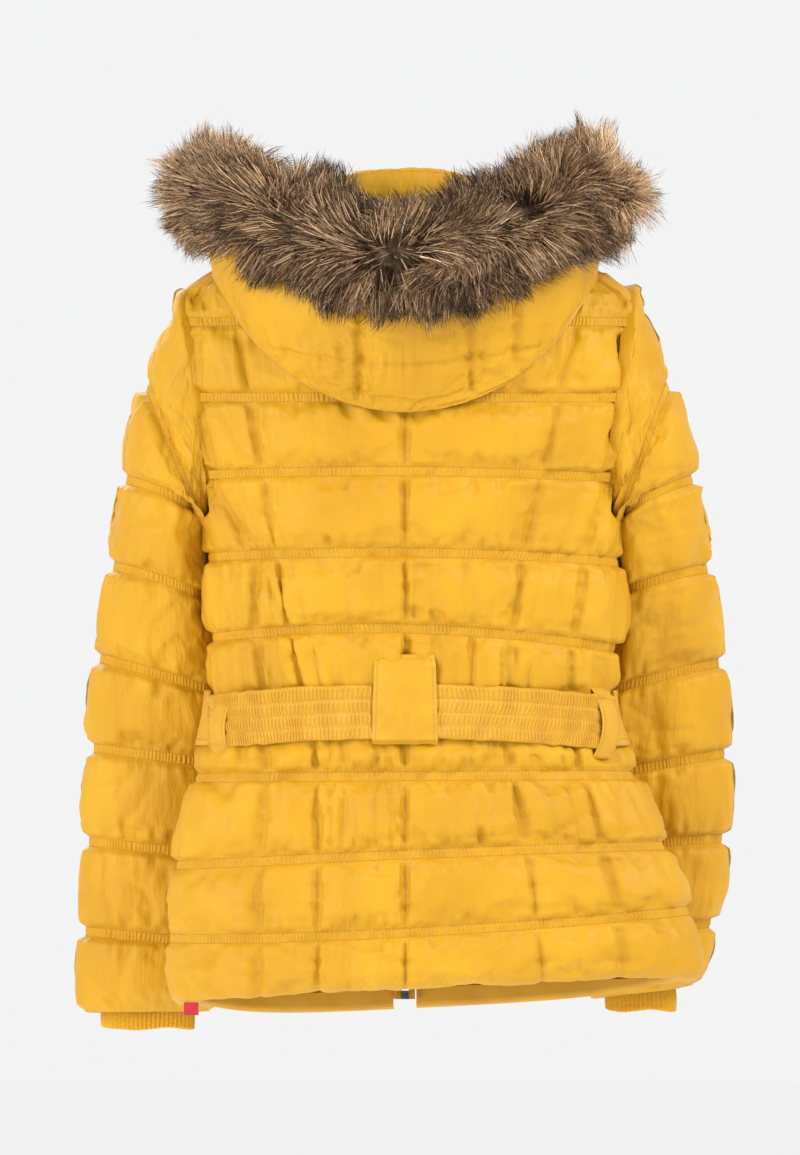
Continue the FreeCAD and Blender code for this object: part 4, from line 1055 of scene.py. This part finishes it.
HOOD_ROWS, HOOD_COLUMNS = 46, 116


def build_hood():
    rows, columns = HOOD_ROWS, HOOD_COLUMNS
    base = hood_grid(rows, columns)
    n = normals_of(base)
    x, y, z = base[..., 0], base[..., 1], base[..., 2]
    tucked = np.arange(len(base))[:, None] >= rows
    free = ease(1.01, 1.10, depth_inside(base, 3.0)) * ~tucked
    behind = ease(-10, 40, y)
    seam = np.min([np.abs(x - s) for s in HOOD_SEAMS], 0)
    gather = np.abs(x - HOOD_GATHER_X)
    sunk = 4.5 * (1 - (np.minimum(seam, 16) / 16) ** 0.5) * behind + 2.5 * (1 - ease(0, 9, gather)) * behind
    shape = base - n * (2.5 + sunk)[..., None] * free[..., None]
    hold = np.zeros(x.shape)
    hold[:2] = hold[rows - 1:] = 1
    hold[:, :1] = hold[:, -1:] = 1
    hold[free < 0.05] = 1
    hold[(seam < 2.2) & (behind > 0.5)] = 0.6
    slack = np.clip(0.75 + 0.5 * smooth_noise(x / 40, z / 30, 501), 0, 1)
    shape = puffed(shape, hold, slack, pressure=1.6)
    shape = capped(shape, base, n, -9.0, 5.0)
    fine, nf = finer(shape, 3), finer(n, 3)
    b = finer(base, 3)
    u, v = b[..., 0], b[..., 2]
    free_f = np.clip(finer(free[..., None], 3)[..., 0], 0, 1)
    seam = np.min([np.abs(u - s) for s in HOOD_SEAMS], 0)
    gather = np.abs(u - HOOD_GATHER_X)
    level = np.abs(v - HOOD_GATHER_Z - 0.0012 * u**2)
    wrinkle = puckers(v, seam, 521, 16, 8) * 2.0 + puckers(v, gather, 531, 18, 6) * 2.2
    crossing = np.abs(u) < 120
    wrinkle += puckers(u, level, 541, 16, 7) * 2.2 * crossing
    wrinkle -= 3.2 * valley(seam, 2.6) + 2.4 * valley(gather, 3.0) + 2.4 * valley(level, 3.0) * crossing
    wrinkle += 2.0 * smooth_noise(u / 32, v / 20, 551, 2)
    fine = keep_outside(fine + nf * (wrinkle * free_f * ease(-10, 40, b[..., 1]))[..., None], 2.5)
    made = cloth_piece("hood_shell", fine)
    panels = [f"hood_{place}_panel" for place in ("left", "centre", "right")]
    finish_piece(made, shell, "hood", panels)
    inner = cloth_piece("hood_lining_cloth", hood_grid(24, 60, inset=12.0, clear=10.0, tucked=3))
    finish_piece(inner, lining_cloth, "hood", replaced=["hood_lining"])


def build_hood_neck():
    """The cloth from the neck seam to the pouch's lower edge, under the pouch while the hood lies back."""
    edge = hood_grid(HOOD_ROWS, HOOD_COLUMNS)[HOOD_ROWS - 1]
    edge = edge[edge[:, 1] > 12]
    x, y = neck_ring(np.linspace(math.radians(14), math.radians(166), len(edge)), -1.0)
    top = np.stack([x, y, neck_height(y, NECK_SEAM) + 2.0], 1)
    share = np.linspace(0, 1, 30)[:, None, None]
    grid = keep_outside(top * (1 - share) + edge * share, 4.0)
    third = int(np.argmax(edge[:, 0] < 100))
    rest = len(edge) - third
    for name, a, b, start, end, flat in (
        ("left", 0, third + 1, (0.060, 0.045, -0.028), (0.120, 0.090, -0.100), (0.09, 0.10)),
        ("middle", third, rest, (0, 0.07, -0.03), (0, 0.09, -0.125), (0.17, 0.11)),
        ("right", rest - 1, len(edge), (-0.060, 0.045, -0.028), (-0.120, 0.090, -0.100), (0.09, 0.10)),
    ):
        made = cloth_piece(f"hood_neck_{name}_cloth", grid[:, a:b])
        finish_piece(made, plain, body=None)
        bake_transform(made)


# ------------------------------------------------------------------ fur
def fur_path(count):
    half = np.array(FUR_SPINE, float)
    mirrored = half[:0:-1] * (-1, 1, 1, 1)
    path = np.concatenate([mirrored, half])
    walk = walked(path[:, :3])
    at = np.linspace(0, walk[-1], count)
    return np.stack([smooth(at, walk, path[:, k]) for k in range(4)], 1)


def fur_frame(path):
    along = np.gradient(path[:, :3], axis=0)
    along /= np.linalg.norm(along, axis=1, keepdims=True)
    across = np.cross(along, (0, 0, 1.0))
    across /= np.linalg.norm(across, axis=1, keepdims=True)
    return along, across, np.cross(across, along)


FUR_TONES = {
    # root, middle and tip colours of each kind of hair, and its share of the coat, from dark to light
    "dark": ((0.040, 0.021, 0.011), (0.120, 0.066, 0.033), (0.015, 0.010, 0.008), 0.13),
    "umber": ((0.080, 0.044, 0.022), (0.300, 0.172, 0.085), (0.035, 0.022, 0.015), 0.19),
    "grey": ((0.120, 0.076, 0.044), (0.450, 0.300, 0.175), (0.050, 0.034, 0.025), 0.17),
    "tan": ((0.180, 0.105, 0.055), (0.620, 0.395, 0.210), (0.260, 0.160, 0.090), 0.27),
    "sand": ((0.270, 0.168, 0.090), (0.860, 0.610, 0.370), (0.640, 0.430, 0.255), 0.24),
}
HAIRS, CLUMPS = 130000, 2000
HAIR_LENGTH, FUR_RADIUS = 45.0, 44.0       # a hair's length where the trim has this radius
FUR_REACH = 205.0                          # how far back the hairs stand freely
FUR_CORE = 0.42                            # share of the trim's radius that is backing
FUR_STEPS, FUR_SIDES = 120, 40
PARTING = 50                               # the step from which the hair is combed both ways


def build_fur_backing(path, across, up):
    turns = np.linspace(0, 2 * np.pi, FUR_SIDES, endpoint=False)
    rings = np.stack([
        path[:, :3] + (across * math.cos(t) + up * math.sin(t)) * (path[:, 3:] * FUR_CORE) for t in turns
    ], 1)
    bump = 3.0 * smooth_noise(np.arange(FUR_STEPS)[:, None] * 5.0 / 9, turns[None, :] * 6, 601, 2)
    rings = rings + (rings - path[:, None, :3]) * (bump[..., None] / 20)
    tips = [np.tile(path[k, :3], (1, FUR_SIDES, 1)) for k in (0, -1)]
    rings = np.concatenate([tips[0], rings, tips[1]])
    under = mesh_object("fur_backing", rings.reshape(-1, 3), grid_faces(*rings.shape[:2], True))
    finish_piece(under, under_fur, "hood", ["fur_trim"])


def hair_mesh(name, blocks, colours):
    """Flat hairs of seven points each: a root, a middle and a tip part, each in its own colour."""
    at = np.arange(len(blocks))[:, None] * 7
    quads = np.concatenate([at + [0, 1, 3, 2], at + [2, 3, 5, 4]], 0)
    tips = at + [4, 5, 6]
    mesh = bpy.data.meshes.new(f"fur_{name}")
    mesh.from_pydata((blocks.reshape(-1, 3) * MM).tolist(), [], quads.tolist() + tips.tolist())
    hair = bpy.data.objects.new(f"fur_{name}_hairs", mesh)
    bpy.context.scene.collection.objects.link(hair)
    for part, colour in zip(("root", "middle", "tip"), colours):
        mesh.materials.append(material(f"fur_{name}_{part}", colour, 0.6, Specular_IOR_Level=0.15))
    mesh.polygons.foreach_set("material_index", np.repeat([0, 1, 2], len(blocks)))
    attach(hair, "hood")


def build_fur():
    path = fur_path(FUR_STEPS)
    along, across, up = fur_frame(path)
    build_fur_backing(path, across, up)
    last, middle = FUR_STEPS - 1, (FUR_STEPS - 1) / 2
    rng = np.random.default_rng(11)

    def place(k, t):
        """Point on the backing, its outward and lengthwise ways, the trim's radius and the way up."""
        i = np.minimum(k.astype(int), last - 1)
        f = (k - i)[:, None]
        kept = (path[:, :3], path[:, 3:], along, across, up)
        p, r, ahead, aside, rising = (values[i] * (1 - f) + values[i + 1] * f for values in kept)
        out = aside * np.cos(t)[:, None] + rising * np.sin(t)[:, None]
        return p + out * r * FUR_CORE, out, ahead, r[:, 0], rising

    def combed(k, t):
        """Where a hair at this place points: outwards, towards the nearer end, and fanned up and down."""
        _, out, ahead, _, rising = place(k, t)
        sweep = np.tanh((k - PARTING) / 22)
        lift = (out * rising).sum(1, keepdims=True)
        wander = np.stack([smooth_noise(k / 5, t * 2.2, 611 + i) for i in range(3)], 1)
        way = out * 0.38 + ahead * (0.60 * sweep)[:, None] + rising * lift * 0.50 + wander * 0.80
        way = way + np.array([0, 0, -0.22])
        return way / np.linalg.norm(way, axis=1, keepdims=True)

    clump_k, clump_t = rng.uniform(0, last, CLUMPS), rng.uniform(0, 2 * np.pi, CLUMPS)
    clump_root, _, _, clump_r, _ = place(clump_k, clump_t)
    clump_way = combed(clump_k, clump_t)
    clump_long = HAIR_LENGTH * (clump_r / FUR_RADIUS) * rng.uniform(0.55, 1.10, CLUMPS)
    clump_way = clump_way + rng.normal(0, 0.22, (CLUMPS, 3))
    clump_tip = clump_root + (clump_way + np.array([0, 0, -0.10])) * clump_long[:, None]
    tone_of_clump = rng.uniform(-0.28, 0.28, CLUMPS)

    belongs = rng.integers(0, CLUMPS, HAIRS)
    k = np.clip(clump_k[belongs] + rng.normal(0, 1.2, HAIRS), 0, last)
    t = clump_t[belongs] + rng.normal(0, 0.24, HAIRS)
    base, out, _, r, _ = place(k, t)
    way = combed(k, t)
    long = HAIR_LENGTH * (r / FUR_RADIUS) * rng.uniform(0.55, 1.12, HAIRS)
    stray = rng.uniform(0, 1, HAIRS) ** 2
    own_tip = base + way * long[:, None]
    pull = (0.72 - 0.60 * stray)[:, None]
    tip = own_tip * (1 - pull) + clump_tip[belongs] * pull + rng.normal(0, 1.8, (HAIRS, 3))
    bow = out * (long * 0.16)[:, None] + rng.normal(0, 0.9, (HAIRS, 3))
    base = base - out * 2.0
    a, b, c, d = (base * (1 - f) + tip * f + bow * (4 * f * (1 - f)) for f in (0.0, 0.36, 0.72, 1.0))
    flat = np.cross(tip - base, rng.normal(0, 1, (HAIRS, 3)))
    flat /= np.linalg.norm(flat, axis=1, keepdims=True)
    flat *= rng.uniform(0.26, 0.50, HAIRS)[:, None]
    blocks = np.stack([a - flat, a + flat, b - flat, b + flat, c - flat * 0.6, c + flat * 0.6, d], 1)
    over = np.maximum(blocks[..., 1] - FUR_REACH, 0)
    blocks[..., 1] -= over - 6.0 * np.tanh(over / 12)
    light = rng.uniform(0, 1, HAIRS) + tone_of_clump[belongs] + smooth_noise(k / 9, t, 641) * 0.18
    # painted light: hairs towards the two upper ends of the trim are taken from the lighter tones, as if more
    # light fell on them
    order = np.argsort(light + 0.75 * ease(14, 50, np.abs(k - middle)))
    start = 0
    for name, (*colours, share) in FUR_TONES.items():
        count = int(round(share * HAIRS))
        hair_mesh(name, blocks[order[start:start + count]], colours)
        start += count


# ------------------------------------------------------------------ belt
def around(z, turns, offset):
    x, y = torso_xy(np.full(turns.shape, float(z)), turns, offset)
    return np.stack([x, y, np.full(turns.shape, float(z))], 1)


def belt_grid(x0, x1, heights, offsets, columns):
    """A grid that follows the back of the body between two x, and rises a little to the middle."""
    rows = []
    for z, offset in zip(heights, offsets):
        t0, t1 = float(turn_at(z, x0, True)), float(turn_at(z, x1, True))
        rows.append(around(z, np.linspace(t0, t1, columns), offset))
    grid = np.array(rows)
    grid[..., 2] += 6.0 - 9.0 * (grid[..., 0] / 165) ** 2
    return grid


def build_elastic(side, word):
    """Shirred elastic: narrow upright ribs pinched by three rows of stitching."""
    rows, columns, pinched = 41, 440, np.array([0.26, 0.5, 0.74])
    x0, x1 = sorted((side * 21.0, side * (LOOP_X[side] + 8.0)), reverse=True)
    heights = np.linspace(BELT_Z + BELT_HEIGHT / 2, BELT_Z - BELT_HEIGHT / 2, rows)
    share = np.linspace(0, 1, rows)[:, None]
    grid = belt_grid(x0, x1, heights, np.full(rows, 3.4), columns)
    u = np.linspace(0, walked(grid[rows // 2])[-1], columns)[None, :]
    drift = 0.7 * smooth_noise(u / 12, share * 3, 701 + side)
    rib = (0.5 + 0.5 * np.cos(2 * np.pi * (u / 3.1 + drift))) ** 0.7
    near = np.min(np.abs(share - pinched[None, :]) * BELT_HEIGHT, axis=1)[:, None]
    swell = 0.35 + 0.65 * ease(0, 3.5, near)
    edge = ease(0, 0.05, share) * ease(0, 0.05, 1 - share)
    wave = 0.4 * smooth_noise(u / 26, share * 2, 711 + side)
    height = 0.4 + 1.5 * rib * swell * (0.3 + 0.7 * edge) + 0.9 * swell * edge + wave
    n = normals_of(grid)
    outer = grid + n * height[..., None]
    outer[..., 2] += 0.8 * smooth_noise(u / 9, share * 0, 721 + side) * (1 - edge)
    inner = belt_grid(x0, x1, heights, np.full(rows, 1.2), columns)
    name = f"belt_elastic_{word}"
    finish_piece(slab(f"{name}_shirred", outer, inner), shirred, replaced=[name])
    lines = along_grid(outer, n, rows=(pinched * (rows - 1)).round().astype(int), lift=0.25)
    sew(f"{name}_stitches", lines, "shirred_elastic", pitch=3.1, length=1.9)


def strap(name, outer_rows, replaced):
    made = slab(name, outer_rows, outer_rows - normals_of(outer_rows) * STRAP_THICK)
    bevel = made.modifiers.new("Edges", "BEVEL")
    bevel.width, bevel.segments, bevel.limit_method = 0.7 * MM, 2, "ANGLE"
    finish_piece(made, plain, replaced=[replaced])


def build_keeper():
    """The plain patch that holds the belt at the middle of the back."""
    rows, columns = 40, 34
    heights = np.linspace(KEEPER_TOP + 6, BELT_Z - BELT_HEIGHT / 2 - 5, rows)
    share = np.linspace(0, 1, rows)
    over = 7.0 - 5.5 * (1 - ease(0, 0.14, share)) - 5.0 * (1 - ease(0, 0.06, 1 - share))
    grid = belt_grid(KEEPER_HALF, -KEEPER_HALF, heights, over, columns)
    u, v = np.linspace(-1, 1, columns)[None, :], share[:, None]
    n = normals_of(grid)
    puff = 1.6 * (1 - u**4) * np.sin(np.pi * v) ** 0.6 + 0.9 * smooth_noise(u * 3 + 5, v * 4, 731, 2)
    grid = grid + n * puff[..., None]
    grid[..., 0] -= 2.4 * (v - 0.5) * u
    strap("back_belt_keeper_patch", finer(grid, 2), "back_belt_keeper")
    lines = along_grid(grid, n, (2, rows - 3), (2, columns - 3), slice(2, -2))
    sew("back_belt_keeper_stitches", lines, pitch=2.8, length=1.9)


def build_loop(side, word):
    """A narrow loop that bulges out over the belt."""
    top, bottom = BELT_Z + BELT_HEIGHT / 2 + 7, BELT_Z - BELT_HEIGHT / 2 - 9
    share = np.linspace(0, 1, 30)
    over = -3.0 + 11.5 * np.sin(np.pi * share) ** 0.45
    x = side * LOOP_X[side]
    grid = belt_grid(x + LOOP_HALF, x - LOOP_HALF, top + (bottom - top) * share, over, 10)
    grid[..., 0] += side * (3.0 * np.sin(np.pi * share) ** 1.5 + LOOP_LEAN[side] * (share - 1))[:, None]
    strap(f"belt_loop_{word}_strip", finer(grid, 2), f"belt_loop_{word}")
    lines = along_grid(grid, normals_of(grid), columns=(1, 8), ends=slice(1, -1))
    sew(f"belt_loop_{word}_stitches", lines, pitch=2.6, length=1.8)


def build_side_strap(side, word):
    """The plain strap from the elastic round the side to the front."""
    rows = []
    for z in np.linspace(BELT_Z + BELT_HEIGHT / 2, BELT_Z - BELT_HEIGHT / 2, 21):
        t0 = float(turn_at(z, side * (LOOP_X[side] + 8.5), True))
        t1 = float(turn_at(z, side * SIDE_STRAP_END[side], False))
        rows.append(around(z, np.linspace(t0, t1 + (2 * np.pi if side < 0 else 0), 90), 5.0))
    grid = np.array(rows) if side < 0 else np.array(rows)[:, ::-1]
    u, v = np.linspace(0, 12, 90)[None, :], np.linspace(-1, 1, 21)[:, None]
    n = normals_of(grid)
    n *= np.sign((n[..., :2] * grid[..., :2]).sum())
    grid = grid + n * (0.5 * (1 - v**6) + 0.35 * smooth_noise(u * 2, v * 2, 741 + side, 2))[..., None]
    made = slab(f"belt_side_{word}_strap", grid, grid - n * 3.6)
    finish_piece(made, plain, replaced=[f"belt_side_{word}"])
    sew(f"belt_side_{word}_stitches", along_grid(grid, n, rows=(2, 18)), pitch=3.0, length=2.0)


# ------------------------------------------------------------------ fittings kept from the frame
def dress(names, finish, edge=0.0):
    for name in names:
        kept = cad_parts[name]
        kept.data.materials.clear()
        kept.data.materials.append(finish)
        if edge:
            bevel = kept.modifiers.new("Edges", "BEVEL")
            bevel.width, bevel.segments, bevel.limit_method = edge * MM, 2, "ANGLE"
            bevel.angle_limit = math.radians(35)


def build_welts():
    """Slanted pocket welts with a stitched edge, on each half of the front."""
    rows, columns, clear = 50, 13, 2.2
    v, w = np.linspace(0, 1, rows)[:, None], np.linspace(-1, 1, columns)[None, :]
    for side, word in ((1, "left"), (-1, "right")):
        x = side * (96 + 40 * v) + 11.0 * w
        z = -486 - 120 * v + 0 * w
        left, right, _, front = torso_size(z)
        half = np.where(x >= 0, left, right) + clear
        y = -(front + clear) * (1 - (np.abs(x) / half) ** FRONT_POWER) ** (1 / FRONT_POWER)
        grid = np.stack([x, y, z], -1)
        n = normals_of(grid)
        n *= -np.sign(n[..., 1].sum())
        puff = 1.5 * (1 - w**4) * (1 - (2 * v - 1) ** 8) + 0.5 * smooth_noise(v * 9, w * 2, 751 + side, 2)
        outer = grid + n * puff[..., None]
        name = f"pocket_welt_{word}"
        finish_piece(slab(f"{name}_cloth", outer, grid - n * 5.0), plain, replaced=[name])
        lines = along_grid(outer, n, (1, rows - 2), (1, columns - 2), lift=0.25)
        sew(f"{name}_stitches", lines, pitch=2.8, length=1.9)


def dress_fittings():
    dress(["zip_teeth_left", "zip_teeth_right"], teeth_plastic, 0.15)
    dress(["zip_tapes", "placket_guard", "hang_loop"], tape_cloth)
    dress(["zip_slider", "zip_pull", "zip_top_stops", "zip_bottom_box"], zip_metal, 0.3)
    dress(["buckle_frame", "buckle_prong", "belt_eyelets"], buckle_metal, 0.5)
    dress(["belt_front_left", "belt_front_right", "belt_tip_loop"], plain, 0.7)
    dress(["pocket_bag_left", "pocket_bag_right"], lining_cloth, 1.2)
    dress(["side_label"], label_cloth, 0.15)


# ------------------------------------------------------------------ studio
def build_studio():
    floor_mesh = bpy.data.meshes.new("floor")
    size, drop = 30.0, CAD_BOX[0].z - 1.0
    corners = [(x * size, y * size, drop) for x, y in ((-1, -1), (1, -1), (1, 1), (-1, 1))]
    floor_mesh.from_pydata(corners, [], [(0, 1, 2, 3)])
    floor = bpy.data.objects.new("floor", floor_mesh)
    bpy.context.scene.collection.objects.link(floor)
    floor_mesh.materials.append(material("floor", (0.985, 0.985, 0.985), 0.9))
    world = bpy.data.worlds.new("studio")
    bpy.context.scene.world = world
    world.use_nodes = True
    world.node_tree.nodes["Background"].inputs["Color"].default_value = (0.90, 0.90, 0.905, 1)
    world.node_tree.nodes["Background"].inputs["Strength"].default_value = 1.0
    middle = Vector((0, 0, -0.30))
    for name, place, size, power in (
        ("key", (-2.1, 1.6, 1.5), 1.4, 72.0),
        ("fill", (2.3, 2.0, 0.2), 2.2, 62.0),
        ("front", (0.8, -2.4, 1.2), 1.8, 46.0),
    ):
        lamp = bpy.data.lights.new(name, "AREA")
        lamp.energy, lamp.size = power, size
        made = bpy.data.objects.new(name, lamp)
        made.location = place
        made.rotation_euler = (middle - Vector(place)).to_track_quat("-Z", "Y").to_euler()
        bpy.context.scene.collection.objects.link(made)


def build_camera():
    """Behind the jacket, level with its middle, framed as a tall picture."""
    distance, tall = 14.0, 1.016
    bpy.context.scene.view_settings.view_transform = "Standard"
    camera = bpy.data.cameras.new("camera")
    camera.sensor_width = 36.0
    camera.lens = 36.0 * distance / tall
    made = bpy.data.objects.new("camera", camera)
    made.location = (0.0044, distance + 0.06, -0.3014)
    made.rotation_euler = (math.radians(90), 0, math.radians(180))
    bpy.context.scene.collection.objects.link(made)
    bpy.context.scene.camera = made


# ------------------------------------------------------------------ the jacket
build_camera()
build_studio()
build_torso()
for each_side, each_word in ((1, "left"), (-1, "right")):
    build_sleeve(each_side, each_word)
    build_elastic(each_side, each_word)
    build_loop(each_side, each_word)
    build_side_strap(each_side, each_word)
build_keeper()
build_collar()
build_linings()
build_hood()
build_hood_neck()
build_fur()
build_welts()
dress_fittings()
